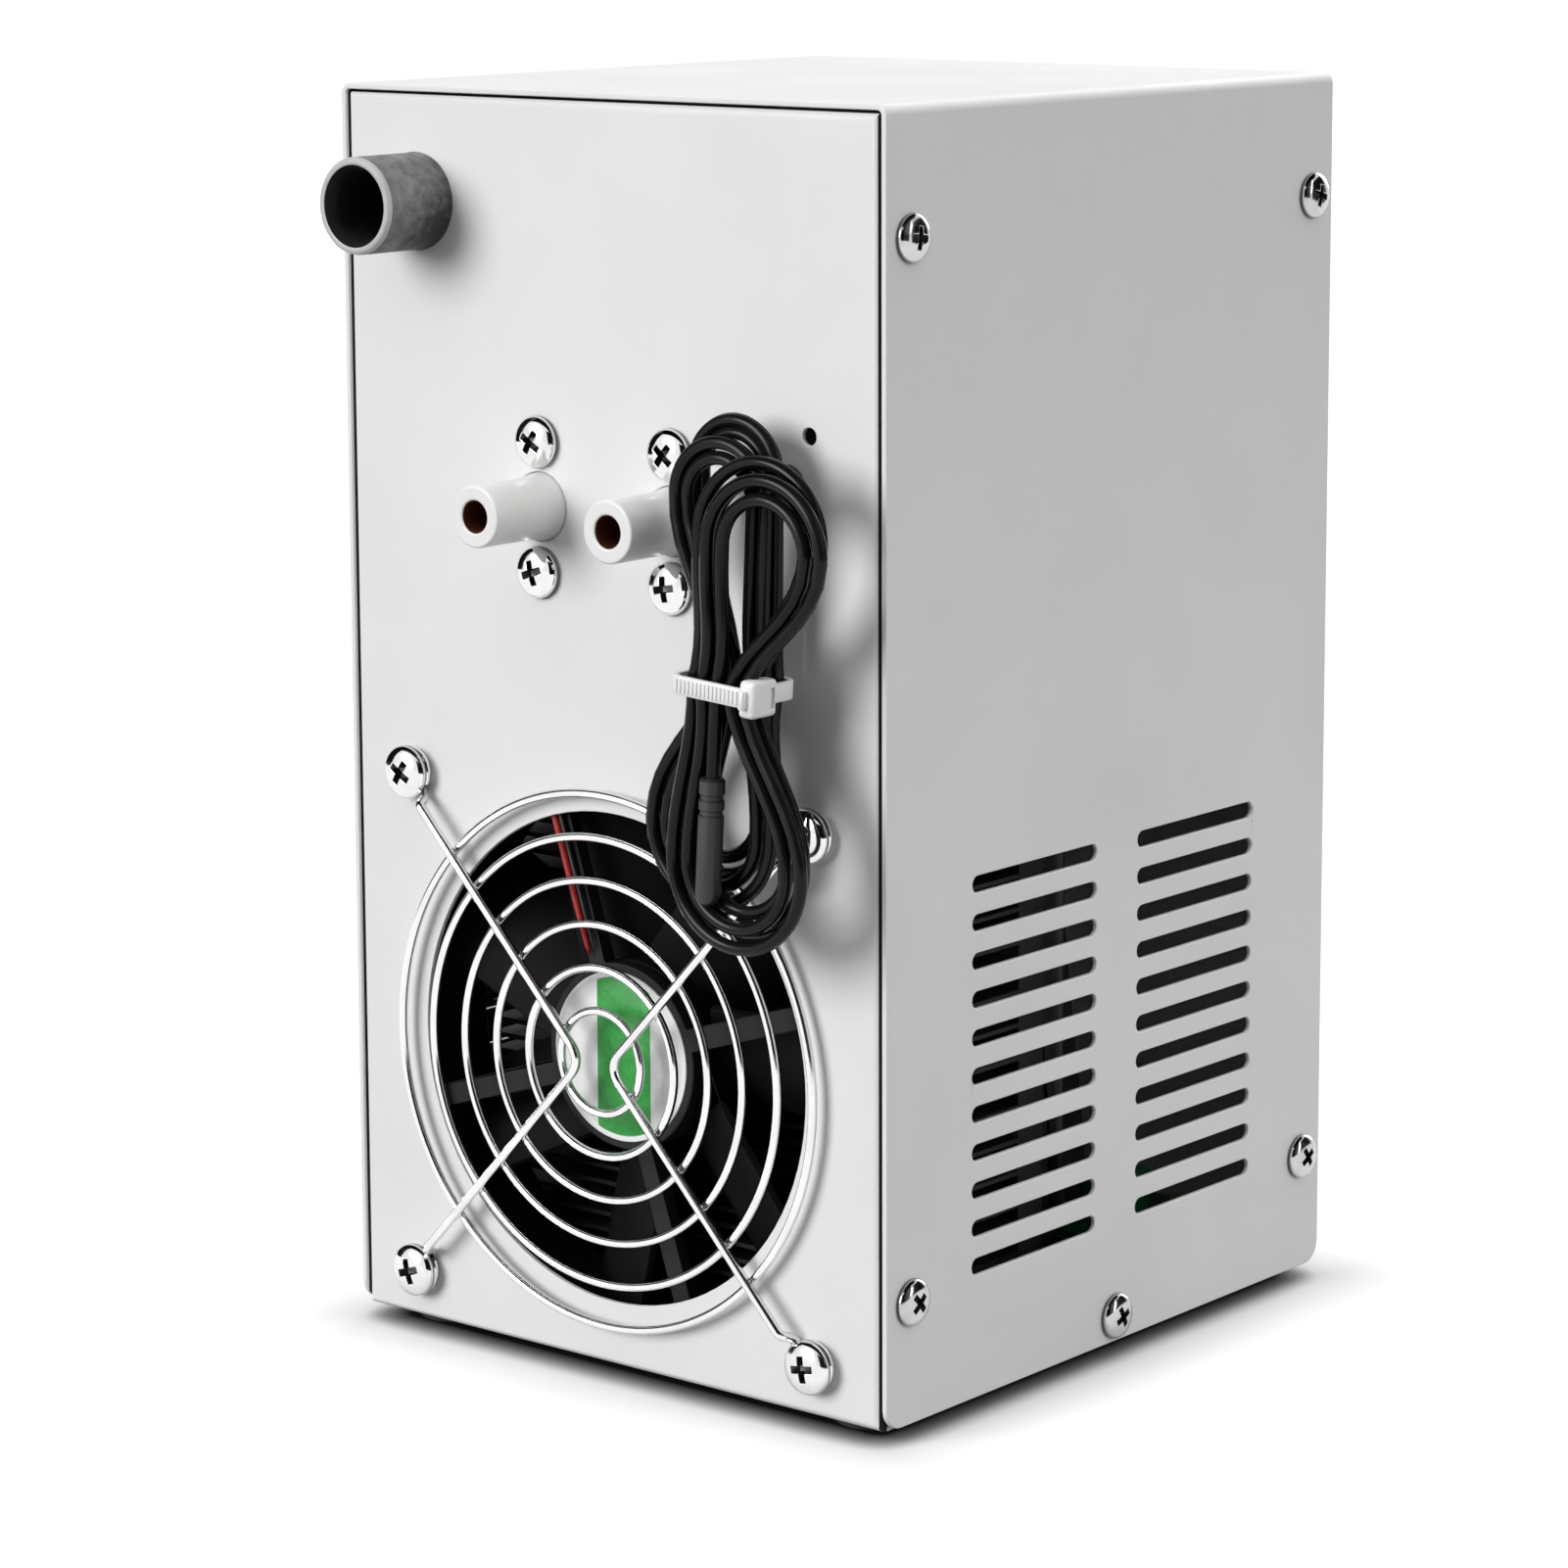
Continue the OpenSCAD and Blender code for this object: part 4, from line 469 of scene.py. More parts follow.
    # Painted shade: near black in the sleeve's bore
    SLEEVE_BORE_SHADE = Finish("sleeve_grey", (0.01, 0.01, 0.01), (0.02, 0.02, 0.02), 0.5, Grain.SKIN, gloss=0.2)
    PLASTIC = Finish("black_plastic", (0.014, 0.014, 0.015), (0.028, 0.028, 0.03), 0.42, Grain.MOULDED)
    BOARD = Finish("board_green", (0.006, 0.075, 0.025), (0.015, 0.13, 0.05), 0.3, Grain.BOARD, coat=0.3)
    BRASS = Finish("standoff", (0.7, 0.5, 0.2), (0.5, 0.34, 0.12), 0.28, Grain.PLATED, metal=1.0)
    RELAY = Finish("relay", (0.01, 0.05, 0.3), (0.02, 0.08, 0.4), 0.35, Grain.MOULDED)
    CAPACITOR = Finish("capacitor", (0.02, 0.02, 0.06), (0.04, 0.04, 0.1), 0.3, Grain.MOULDED, coat=0.3)
    TERMINAL = Finish("terminal", (0.02, 0.25, 0.08), (0.03, 0.33, 0.12), 0.4, Grain.MOULDED)
    WINDOW = Finish(
        "window_smoke", (0.16, 0.02, 0.02), (0.12, 0.015, 0.015), 0.08, Grain.PLATED, clear=0.85,
    )
    DIGITS = Finish("digits", (0.16, 0.012, 0.01), (0.1, 0.01, 0.01), 0.3, Grain.MOULDED)
    KEY = Finish("key_grey", (0.36, 0.36, 0.36), (0.29, 0.29, 0.29), 0.5, Grain.SKIN)
    KEY_RED = Finish("key_red", (0.5, 0.03, 0.02), (0.38, 0.02, 0.015), 0.5, Grain.SKIN)
    CORD = Finish(
        "cord_black", (0.005, 0.005, 0.005), (0.009, 0.009, 0.009), 0.19, Grain.JACKET, gloss=0.17,
    )
    TIE = Finish("tie_white", (0.9, 0.9, 0.89), (0.84, 0.84, 0.83), 0.36, Grain.MOULDED, clear=0.05)


# Modelling


class Bench:
    """The modelling steps that the sub-assemblies share."""

    @staticmethod
    def deselect() -> None:
        """Leaves nothing selected."""
        if bpy.context.object and bpy.context.object.mode != "OBJECT":
            bpy.ops.object.mode_set(mode="OBJECT")
        bpy.ops.object.select_all(action="DESELECT")

    @classmethod
    def hold(cls, piece: Piece) -> Piece:
        """Selects one piece alone and returns it."""
        cls.deselect()
        piece.select_set(True)
        bpy.context.view_layer.objects.active = piece
        return piece

    @classmethod
    def fresh(cls, name: str) -> Piece:
        """Names the primitive that was just added and returns it."""
        piece = bpy.context.object
        piece.name = piece.data.name = name
        return piece

    @classmethod
    def open_up(cls, piece: Piece) -> None:
        """Takes a piece into edit mode with all of it selected."""
        cls.hold(piece)
        bpy.ops.object.mode_set(mode="EDIT")
        bpy.ops.mesh.select_all(action="SELECT")

    @staticmethod
    def pick(piece: Piece, kind: str, test: Callable[[object], bool]) -> None:
        """Selects in edit mode what passes a test.

        Args:
            piece: The piece that is open.
            kind: One of verts, edges and faces.
            test: Takes one element and says whether it is selected.
        """
        mode = {"verts": "VERT", "edges": "EDGE", "faces": "FACE"}[kind]
        bpy.ops.mesh.select_mode(type=mode)
        bpy.ops.mesh.select_all(action="DESELECT")
        mesh = bmesh.from_edit_mesh(piece.data)
        for element in getattr(mesh, kind):
            if test(element):
                element.select_set(True)
        mesh.select_flush_mode()
        bmesh.update_edit_mesh(piece.data)

    @classmethod
    def close_up(cls, piece: Piece, merge: float = MERGE, outward: bool = True) -> Piece:
        """Merges doubled points, turns the faces outwards and leaves edit mode.

        Args:
            piece: The piece to close.
            merge: Distance at which points merge.
            outward: Whether the faces are turned outwards.

        Returns:
            The same piece.
        """
        if piece.mode != "EDIT":
            cls.open_up(piece)
        bpy.ops.mesh.select_all(action="SELECT")
        bpy.ops.mesh.remove_doubles(threshold=merge)
        if outward:
            bpy.ops.mesh.normals_make_consistent(inside=False)
        bpy.ops.object.mode_set(mode="OBJECT")
        return piece

    @classmethod
    def smooth(cls, piece: Piece, angle: float = 35.0) -> Piece:
        """Shades a piece smooth except at edges sharper than the angle, and returns it."""
        cls.hold(piece)
        bpy.ops.object.shade_smooth_by_angle(angle=math.radians(angle))
        return piece

    @classmethod
    def modify(cls, piece: Piece, kind: str, **settings: object) -> Piece:
        """Adds one modifier, sets it and applies it.

        Args:
            piece: The piece.
            kind: The kind of modifier.
            settings: What is set in it.

        Returns:
            The same piece.
        """
        cls.hold(piece)
        modifier = piece.modifiers.new(kind.lower(), kind)
        for name, value in settings.items():
            setattr(modifier, name, value)
        bpy.ops.object.modifier_apply(modifier=modifier.name)
        return piece

    @classmethod
    def settle(cls, piece: Piece, matrix: Matrix | None = None) -> Piece:
        """Puts a piece in place and its place in its mesh.

        Args:
            piece: The piece.
            matrix: Where it goes from where it was modelled.

        Returns:
            The same piece, with its object at the origin.
        """
        cls.hold(piece)
        bpy.ops.object.transform_apply(location=True, rotation=True, scale=True)
        if matrix is not None:
            piece.data.transform(matrix)
            piece.data.update()
        return piece

    @staticmethod
    def twin(piece: Piece, matrix: Matrix) -> Piece:
        """Copies a piece with its own mesh.

        Args:
            piece: The piece.
            matrix: Where the copy's mesh goes from the piece's.

        Returns:
            The copy.
        """
        copy = piece.copy()
        copy.data = piece.data.copy()
        copy.data.transform(matrix)
        bpy.context.scene.collection.objects.link(copy)
        return copy

    @classmethod
    def spread(cls, piece: Piece, name: str, places: Iterable[Matrix]) -> Piece:
        """Repeats a piece at several places as one object.

        Args:
            piece: The model, which is used up.
            name: Name of the whole.
            places: One matrix for each copy.

        Returns:
            The joined copies.
        """
        copies = [cls.twin(piece, place) for place in places]
        bpy.data.objects.remove(piece)
        return cls.join(name, copies)

    @classmethod
    def join(cls, name: str, pieces: Sequence[Piece]) -> Piece:
        """Joins pieces into one.

        Args:
            name: Its name.
            pieces: The pieces, the first of which takes in the others.

        Returns:
            The joined piece.
        """
        cls.hold(pieces[0])
        for piece in pieces:
            piece.select_set(True)
        if len(pieces) > 1:
            bpy.ops.object.join()
        return cls.fresh(name)

    @classmethod
    def carve(cls, piece: Piece, cutter: Piece) -> Piece:
        """Cuts one piece out of another, removes the cutter and returns the piece."""
        cls.modify(piece, "BOOLEAN", object=cutter, operation="DIFFERENCE", solver="EXACT")
        bpy.data.objects.remove(cutter)
        return piece

    @classmethod
    def split_at(cls, piece: Piece, point: Point, normal: Point) -> Piece:
        """Cuts edges into a piece's faces along a plane and keeps all of it.

        Args:
            piece: The piece.
            point: A point on the plane.
            normal: The plane's normal.

        Returns:
            The same piece.
        """
        cls.open_up(piece)
        bpy.ops.mesh.bisect(plane_co=point, plane_no=normal)
        bpy.ops.object.mode_set(mode="OBJECT")
        cls.smooth(piece, 50.0)
        return cls.modify(piece, "WEIGHTED_NORMAL", keep_sharp=True, weight=100)

    @classmethod
    def block(cls, name: str, low: Point, high: Point, edge: float, segments: int = 2) -> Piece:
        """Models a rounded block between two corners.

        Args:
            name: The piece's name.
            low: Lowest corner.
            high: Highest corner.
            edge: Width of its rounded edges.
            segments: Faces across an edge.

        Returns:
            The block.
        """
        cls.deselect()
        middle = [(a + b) / 2 for a, b in zip(low, high)]
        size = [b - a for a, b in zip(low, high)]
        bpy.ops.mesh.primitive_cube_add(size=1.0, location=middle, scale=size)
        piece = cls.settle(cls.fresh(name))
        cls.open_up(piece)
        bpy.ops.mesh.bevel(offset=edge, offset_type="OFFSET", segments=segments, affect="EDGES")
        return cls.close_up(piece)

    @classmethod
    def block_at(cls, name: str, spot: Point, box: Box, edge: float, segments: int = 2) -> Piece:
        """Models a rounded block from two corners in millimetres.

        Args:
            name: The piece's name.
            spot: The place that the corners are measured from.
            box: Lowest and highest corner.
            edge: Width of its rounded edges.
            segments: Faces across an edge.

        Returns:
            The block.
        """
        low, high = (tuple(s + c * MM for s, c in zip(spot, corner)) for corner in box)
        return cls.block(name, low, high, edge, segments)

    @classmethod
    def turn(cls, name: str, profile: Sequence[Pair], sides: int = 48) -> Piece:
        """Turns a profile round Z, by drawing a circle up from ring to ring.

        Args:
            name: The piece's name.
            profile: Radius and height of each ring, from below upwards outside and down inside.
            sides: Faces round the axis.

        Returns:
            The turned piece.
        """
        least = MERGE / 4
        rings = [(max(radius, least), height) for radius, height in profile]
        cls.deselect()
        bpy.ops.mesh.primitive_circle_add(
            vertices=sides, radius=rings[0][0], location=(0.0, 0.0, rings[0][1])
        )
        piece = cls.settle(cls.fresh(name))
        cls.open_up(piece)
        bpy.ops.mesh.select_mode(type="VERT")
        bpy.ops.mesh.select_all(action="SELECT")
        for (radius, height), (wide, high) in zip(rings, rings[1:]):
            bpy.ops.mesh.extrude_region_move(TRANSFORM_OT_translate={"value": (0.0, 0.0, high - height)})
            share = wide / radius
            bpy.ops.transform.resize(value=(share, share, 1.0), center_override=(0.0, 0.0, high))
        return cls.close_up(piece)

    @classmethod
    def tube(cls, name: str, points: Sequence[Vector], radius: float, sides: int) -> Piece:
        """Draws a round wire along points.

        Args:
            name: The piece's name.
            points: Its centreline.
            radius: Its radius.
            sides: Faces round it.

        Returns:
            The wire as a mesh.
        """
        curve = bpy.data.curves.new(name, "CURVE")
        curve.dimensions = "3D"
        curve.bevel_depth = radius
        curve.bevel_resolution = max(sides // 4 - 1, 0)
        curve.use_fill_caps = True
        spline = curve.splines.new("POLY")
        spline.points.add(len(points) - 1)
        for target, point in zip(spline.points, points):
            target.co = (*point, 1.0)
        piece = bpy.data.objects.new(name, curve)
        bpy.context.scene.collection.objects.link(piece)
        cls.hold(piece)
        bpy.ops.object.convert(target="MESH")
        return cls.smooth(cls.close_up(cls.fresh(name)), 60.0)

    @classmethod
    def soften(cls, node: str, name: str, edge: float, segments: int = 2, angle: float = 40.0) -> Piece:
        """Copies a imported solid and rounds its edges.

        Args:
            node: The solid's name.
            name: The copy's name.
            edge: Width of the rounded edges.
            segments: Faces across an edge.
            angle: Least angle of an edge that is rounded, in degrees.

        Returns:
            The copy.
        """
        piece = cls.lift(node, name)
        cls.modify(
            piece, "BEVEL", width=edge, segments=segments, limit_method="ANGLE",
            angle_limit=math.radians(angle), use_clamp_overlap=False, harden_normals=False,
        )
        cls.smooth(piece, 50.0)
        return cls.modify(piece, "WEIGHTED_NORMAL", keep_sharp=True, weight=100)

    @classmethod
    def lift(cls, node: str, name: str) -> Piece:
        """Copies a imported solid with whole, flat faces.

        Args:
            node: The solid's name.
            name: The copy's name.

        Returns:
            The copy, free of the frame.
        """
        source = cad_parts[node]
        piece = source.copy()
        piece.data = source.data.copy()
        piece.data.materials.clear()
        piece.parent = None
        for key in list(piece.keys()):
            del piece[key]
        bpy.context.scene.collection.objects.link(piece)
        piece.matrix_world = Matrix.Identity(4)
        piece.name = piece.data.name = name
        cls.open_up(piece)
        bpy.ops.mesh.remove_doubles(threshold=0.000005)
        bpy.ops.mesh.dissolve_limited(angle_limit=math.radians(0.4))
        bpy.ops.object.mode_set(mode="OBJECT")
        piece.data.attributes.active_color_index = -1
        return piece


def fit(piece: Piece, finish: Finish, body: str = "case", stands_for: Sequence[str] = ()) -> Piece:
    """Gives a finished piece its finish and its place in the part.

    Args:
        piece: The piece, which keeps the finishes that mark gave it.
        finish: Its finish.
        body: The body that it moves with.
        stands_for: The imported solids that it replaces.

    Returns:
        The same piece.
    """
    if not piece.data.materials:
        piece.data.materials.append(finish.material())
    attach(piece, body)
    if stands_for:
        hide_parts(*stands_for)
    LOG.info("%s: %d faces, %s", piece.name, len(piece.data.polygons), finish.slot)
    return piece


def dress(node: str, name: str, edge: float, finish: Finish, body: str = "case", segments: int = 2) -> Piece:
    """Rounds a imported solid's edges and fits it in the solid's place.

    Args:
        node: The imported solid.
        name: The piece's name.
        edge: Width of its rounded edges in millimetres.
        finish: Its finish.
        body: The body that it moves with.
        segments: Faces across an edge.

    Returns:
        The piece.
    """
    return fit(Bench.soften(node, name, edge * MM, segments), finish, body, (node,))


def mark(piece: Piece, finish: Finish, other: Finish, test: Callable[[Vector], bool]) -> Piece:
    """Gives another finish to the faces whose middle passes a test.

    Args:
        piece: The piece.
        finish: Its main finish.
        other: The finish of those faces.
        test: Takes a face's middle.

    Returns:
        The same piece.
    """
    if not piece.data.materials:
        piece.data.materials.append(finish.material())
    piece.data.materials.append(other.material())
    last = len(piece.data.materials) - 1
    for face in piece.data.polygons:
        if test(face.center):
            face.material_index = last
    return piece


def facing(origin: Point | Vector, out: Point, up: Point = (0.0, 0.0, 1.0)) -> Matrix:
    """Frame on a wall.

    Args:
        origin: Its origin.
        out: Direction of its Z, away from the wall.
        up: Direction of its Y.

    Returns:
        The frame's matrix.
    """
    z, y = Vector(out).normalized(), Vector(up).normalized()
    x = y.cross(z)
    turn = Matrix((x, y, z)).transposed().to_4x4()
    return Matrix.Translation(Vector(origin)) @ turn


def in_mm(profile: Iterable[Pair]) -> list[Pair]:
    """Turns an outline in millimetres into metres."""
    return [(radius * MM, height * MM) for radius, height in profile]


def arc(centre: Vector, radius: float, start: float, stop: float, steps: int) -> list[Vector]:
    """Points on an arc in the XY plane, with its angles in degrees."""
    angles = [math.radians(start + (stop - start) * i / steps) for i in range(steps + 1)]
    return [centre + Vector((math.cos(a), math.sin(a), 0.0)) * radius for a in angles]


@dataclass(frozen=True)
class Faces:
    """Planes of the case, shared by all that is fixed to it.

    Attributes:
        panel_y: Face of the fan panel.
        front_y: Face of the front panel.
        mid_y: Middle between them.
        side_x: Distance of the sides from the middle.
        half_y: Half the case's depth.
    """

    panel_y: float = -67.95 * MM
    front_y: float = 82.05 * MM
    mid_y: float = 7.05 * MM
    side_x: float = 70.0 * MM
    half_y: float = 75.0 * MM

    def on_fan_panel(self, x: float, z: float, out: float = 0.0) -> Matrix:
        """Frame on the fan panel, at a height above the feet's soles, out in front of it."""
        return facing((x, self.panel_y - out, z), (0.0, -1.0, 0.0))

    def on_front_panel(self, x: float, z: float, out: float = 0.0) -> Matrix:
        """Frame on the front panel, with x counted to the right as seen from the front."""
        return facing((-x, self.front_y + out, z), (0.0, 1.0, 0.0))

    def on_side(self, side: int, y: float, z: float) -> Matrix:
        """Frame on the left side, -1, or the right one, 1, with y from the case's middle."""
        return facing((side * self.side_x, self.mid_y + y, z), (float(side), 0.0, 0.0))


FACES = Faces()


# Camera and studio


@dataclass
class CameraRig:
    """The photograph's camera.

    Attributes:
        place: Where it stands.
        yaw: Its turn from +Y in degrees, to the right.
        pitch: Its tilt upwards in degrees.
        roll: Its roll in degrees.
        lens: Focal length in millimetres.
        sensor: Width of its sensor in millimetres.
        shift_y: Vertical shift of the frame.
        near: Least distance that it shows.
        far: Greatest distance that it shows.
    """

    place: Point = (0.6278, -0.77645, 0.3069)
    yaw: float = -39.43
    pitch: float = -9.21
    roll: float = -0.23
    lens: float = 112.07
    sensor: float = 36.0
    shift_y: float = -0.1003
    near: float = 0.01
    far: float = 50.0

    def build(self) -> Piece:
        """Makes the camera and returns it."""
        data = bpy.data.cameras.new("camera")
        data.lens, data.sensor_width, data.shift_y = self.lens, self.sensor, self.shift_y
        data.clip_start, data.clip_end = self.near, self.far
        camera = bpy.data.objects.new("camera", data)
        turn = Matrix.Rotation(math.radians(-self.yaw), 4, "Z")
        tilt = Matrix.Rotation(math.radians(90.0 + self.pitch), 4, "X")
        roll = Matrix.Rotation(math.radians(self.roll), 4, "Z")
        camera.matrix_world = Matrix.Translation(Vector(self.place)) @ turn @ tilt @ roll
        bpy.context.scene.collection.objects.link(camera)
        bpy.context.scene.camera = camera
        return camera


@dataclass(frozen=True)
class Card:
    """A black card that only metal and gloss can see, like the dark of a photographer's room.

    Attributes:
        name: Its name.
        way: Direction from the object to its middle.
        away: Its distance.
        wide: Its width.
        high: Its height.
    """

    name: str
    way: Point
    away: float
    wide: float
    high: float


@dataclass(frozen=True)
class Lamp:
    """A soft lamp, far away.

    Attributes:
        name: Its name.
        way: Direction from the object to it.
        strength: Its strength.
        angle: Its width in degrees, for soft shadows.
    """

    name: str
    way: Point
    strength: float
    angle: float


@dataclass
class Studio:
    """White floor with a painted contact shadow, white surroundings, three soft lamps and a few black cards.

    Attributes:
        floor_half: Half the floor's side.
        bright_r: Radius in which the floor throws light back at the object.
        shade_w: Width round the object's foot over which the floor's painted glow rises, so its shadow shows
            only near the foot.
        dark_in: How far inside the footprint the painted contact shadow under the object is whole.
        dark_fall: Distances from there at which it starts and ends to fade.
        level: Strength of the surroundings as a light, all round.
        overhead: What is added to it right above.
        lamps: The lamps before the fan panel, beside the right side and before the front panel.
        foot_middle: Middle of the object's footprint.
        foot_half: Half its width and half its depth.
        cards: The black cards.
        card_z: Height that the cards look at.
        shade_sheet_gap: Distance of the black sheet from the left side.
        shade_sheet_side: Side of that sheet.
    """

    floor_half: float = 6.0
    bright_r: float = 0.6
    shade_w: float = 20.0 * MM
    dark_in: float = 9.0 * MM
    dark_fall: Pair = (2.7 * MM, 12.5 * MM)
    level: float = 0.06
    overhead: float = 1.15
    lamps: tuple[Lamp, ...] = (
        Lamp("key", (-0.36, -0.88, 0.32), 2.45, 34.0),
        Lamp("side", (0.93, 0.1, 0.32), 1.1, 40.0),
        Lamp("far", (-0.1, 0.93, 0.33), 1.3, 40.0),
    )
    foot_middle: Point = (0.0, FACES.mid_y, 0.0)
    foot_half: Pair = (FACES.side_x, FACES.half_y)
    cards: tuple[Card, ...] = (
        Card("card_camera", (0.66, -0.73, 0.2), 1.25, 1.0, 1.1),
        Card("card_right", (1.0, -0.18, 0.3), 1.4, 1.3, 1.6),
        Card("card_left", (-1.0, -0.1, 0.3), 1.4, 1.5, 1.6),
        Card("card_behind", (0.68, 0.7, 0.05), 1.4, 1.1, 1.4),
        Card("card_above", (0.0, 0.0, 1.0), 1.35, 2.8, 2.4),
    )
    card_z: float = 130.0 * MM
    shade_sheet_gap: float = 0.6 * MM
    shade_sheet_side: float = 130.0 * MM

    @staticmethod
    def seen(graph: Graph) -> Socket:
        """Socket that is 1 where the camera sees a thing, straight, in metal or through glass."""
        path = graph.add("LightPath").outputs
        straight = graph.sum_up("ADD", path["Is Camera Ray"], path["Is Glossy Ray"], clamp=True)
        return graph.sum_up("ADD", straight, path["Is Transmission Ray"], clamp=True)

    def world(self) -> None:
        """Makes surroundings that are white to the eye and in metal, and softer as a light."""
        world = bpy.data.worlds.new("surroundings")
        bpy.context.scene.world = world
        world.use_nodes = True
        world.node_tree.nodes.clear()
        graph = Graph(world.node_tree)
        rise = graph.add("SeparateXYZ", {0: graph.add("TexCoord").outputs["Generated"]}).outputs["Z"]
        above = graph.sum_up("POWER", graph.sum_up("MAXIMUM", rise, 0.0), 2.0)
        light = graph.sum_up("ADD", graph.sum_up("MULTIPLY", above, self.overhead), self.level)
        seen = self.seen(graph)
        kept = graph.sum_up("MULTIPLY", graph.sum_up("SUBTRACT", 1.0, seen), light)
        strength = graph.sum_up("ADD", kept, seen)
        back = graph.add("Background", {"Color": grey(1.0), "Strength": strength})
        graph.put(graph.add("OutputWorld").inputs["Surface"], back.outputs[0])

    def beside(self, graph: Graph, place: Socket, inset: float = 0.0) -> Socket:
        """Adds the distance from the object's footprint, which is 0 inside it.

        Args:
            graph: The graph that it goes into.
            place: Where it is measured.
            inset: How far inside the footprint's edge it starts.

        Returns:
            The distance's socket.
        """
        half = (self.foot_half[0] - inset, self.foot_half[1] - inset, 0.0)
        away = graph.add("VectorMath", {0: place, 1: self.foot_middle}, operation="SUBTRACT").outputs[0]
        span = graph.add("VectorMath", {0: away}, operation="ABSOLUTE").outputs[0]
        over = graph.add("VectorMath", {0: span, 1: half}, operation="SUBTRACT").outputs[0]
        out = graph.add("VectorMath", {0: over, 1: (0.0, 0.0, 0.0)}, operation="MAXIMUM").outputs[0]
        return graph.add("VectorMath", {0: out}, operation="LENGTH").outputs["Value"]

    @staticmethod
    def sheet(name: str, place: Matrix, material: bpy.types.Material, unseen_by: Sequence[str] = ()) -> Piece:
        """Sets up a flat sheet of the studio.

        Args:
            name: Its name.
            place: Its place and size, from a square one metre wide on the floor.
            material: Its material.
            unseen_by: The kinds of ray that pass through it.

        Returns:
            The sheet.
        """
        Bench.deselect()
        bpy.ops.mesh.primitive_plane_add(size=1.0)
        piece = Bench.settle(Bench.fresh(name), place)
        piece.data.materials.append(material)
        for ray in unseen_by:
            setattr(piece, f"visible_{ray}", False)
        return piece

    def floor(self) -> Piece:
        """Makes the floor, white to the eye, with the object's shadow near its foot and a painted contact
        shadow under it, and returns it.
        """
        graph = blank_material("floor_white")
        place = graph.add("TexCoord").outputs["Object"]
        reach = self.beside(graph, place)
        fall = graph.span(reach, self.bright_r * 0.6, self.bright_r * 1.5)
        thrown = graph.blend(fall, grey(0.16), grey(0.04))
        bounce = graph.add("BsdfDiffuse", {"Color": thrown}).outputs[0]
        # Painted light: away from the foot the floor glows and its own shading weakens, so the shadow fades
        # out
        share = graph.span(reach, 0.0, self.shade_w)
        outside = graph.blend(share, grey(0.85), grey(0.25))
        # Painted shadow: near black under the footprint, as a contact shadow
        dark = self.beside(graph, place, self.dark_in)
        under = graph.span(dark, self.dark_fall[0], self.dark_fall[1])
        matt = graph.add("BsdfDiffuse", {"Color": graph.blend(under, grey(0.02), outside)}).outputs[0]
        lift = graph.sum_up("MULTIPLY", share, 0.86)
        glow = graph.add("Emission", {"Color": grey(1.0), "Strength": lift}).outputs[0]
        white = graph.add("AddShader", {0: matt, 1: glow}).outputs[0]
        shader = graph.add("MixShader", {0: self.seen(graph), 1: bounce, 2: white}).outputs[0]
        graph.put(graph.add("OutputMaterial").inputs["Surface"], shader)
        wide = 2 * self.floor_half
        return self.sheet("floor", Matrix.Diagonal((wide, wide, 1.0, 1.0)), bpy.data.materials["floor_white"])

    def hang(self, card: Card, material: bpy.types.Material) -> Piece:
        """Hangs one black card, which the camera and the lights pass through.

        Args:
            card: Its place and size.
            material: Its black.

        Returns:
            The card.
        """
        way = Vector(card.way).normalized()
        turn = way.to_track_quat("Z", "Y").to_matrix().to_4x4()
        size = Matrix.Diagonal((card.wide, card.high, 1.0, 1.0))
        middle = Vector((0.0, 0.0, self.card_z)) + way * card.away
        passing = ("camera", "diffuse", "transmission", "volume_scatter", "shadow")
        return self.sheet(card.name, Matrix.Translation(middle) @ turn @ size, material, passing)

    @staticmethod
    def light(lamp: Lamp) -> Piece:
        """Adds a lamp.

        Args:
            lamp: Its sizes.

        Returns:
            The lamp.
        """
        data = bpy.data.lights.new(lamp.name, "SUN")
        data.energy, data.angle = lamp.strength, math.radians(lamp.angle)
        piece = bpy.data.objects.new(lamp.name, data)
        piece.matrix_world = Vector(lamp.way).to_track_quat("Z", "Y").to_matrix().to_4x4()
        bpy.context.scene.collection.objects.link(piece)
        return piece

    def shade_sheet(self) -> Piece:
        """Stands a black sheet of painted shade at the left slots, seen only through the case, and returns
        it.
        """
        graph = blank_material("shade_sheet_black")
        # Painted shade: black only to the camera looking in through the case; all other rays pass through it
        clear = graph.add("BsdfTransparent").outputs[0]
        black = graph.add("BsdfDiffuse", {"Color": grey(0.005)}).outputs[0]
        behind = graph.add("NewGeometry").outputs["Backfacing"]
        shader = graph.add("MixShader", {0: behind, 1: black, 2: clear}).outputs[0]
        graph.put(graph.add("OutputMaterial").inputs["Surface"], shader)
        low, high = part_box("heat_sink")
        middle = Vector((-FACES.side_x - self.shade_sheet_gap, FACES.mid_y, (low.z + high.z) / 2))
        size = Matrix.Diagonal((self.shade_sheet_side, self.shade_sheet_side, 1.0, 1.0))
        place = Matrix.Translation(middle) @ Matrix.Rotation(math.radians(90.0), 4, "Y") @ size
        passing = ("diffuse", "glossy", "transmission", "volume_scatter", "shadow")
        return self.sheet("shade_sheet_left", place, bpy.data.materials["shade_sheet_black"], passing)

    def build(self) -> None:
        """Makes the floor, the surroundings, the lamps, the cards and the black sheet of painted shade."""
        bpy.context.scene.view_settings.view_transform = "Standard"
        self.world()
        self.floor()
        for lamp in self.lamps:
            self.light(lamp)
        graph = blank_material("card_black")
        shader = graph.add("BsdfDiffuse", {"Color": grey(0.01)})
        graph.put(graph.add("OutputMaterial").inputs["Surface"], shader.outputs[0])
        for card in self.cards:
            self.hang(card, bpy.data.materials["card_black"])
        self.shade_sheet()


# Sensor lead


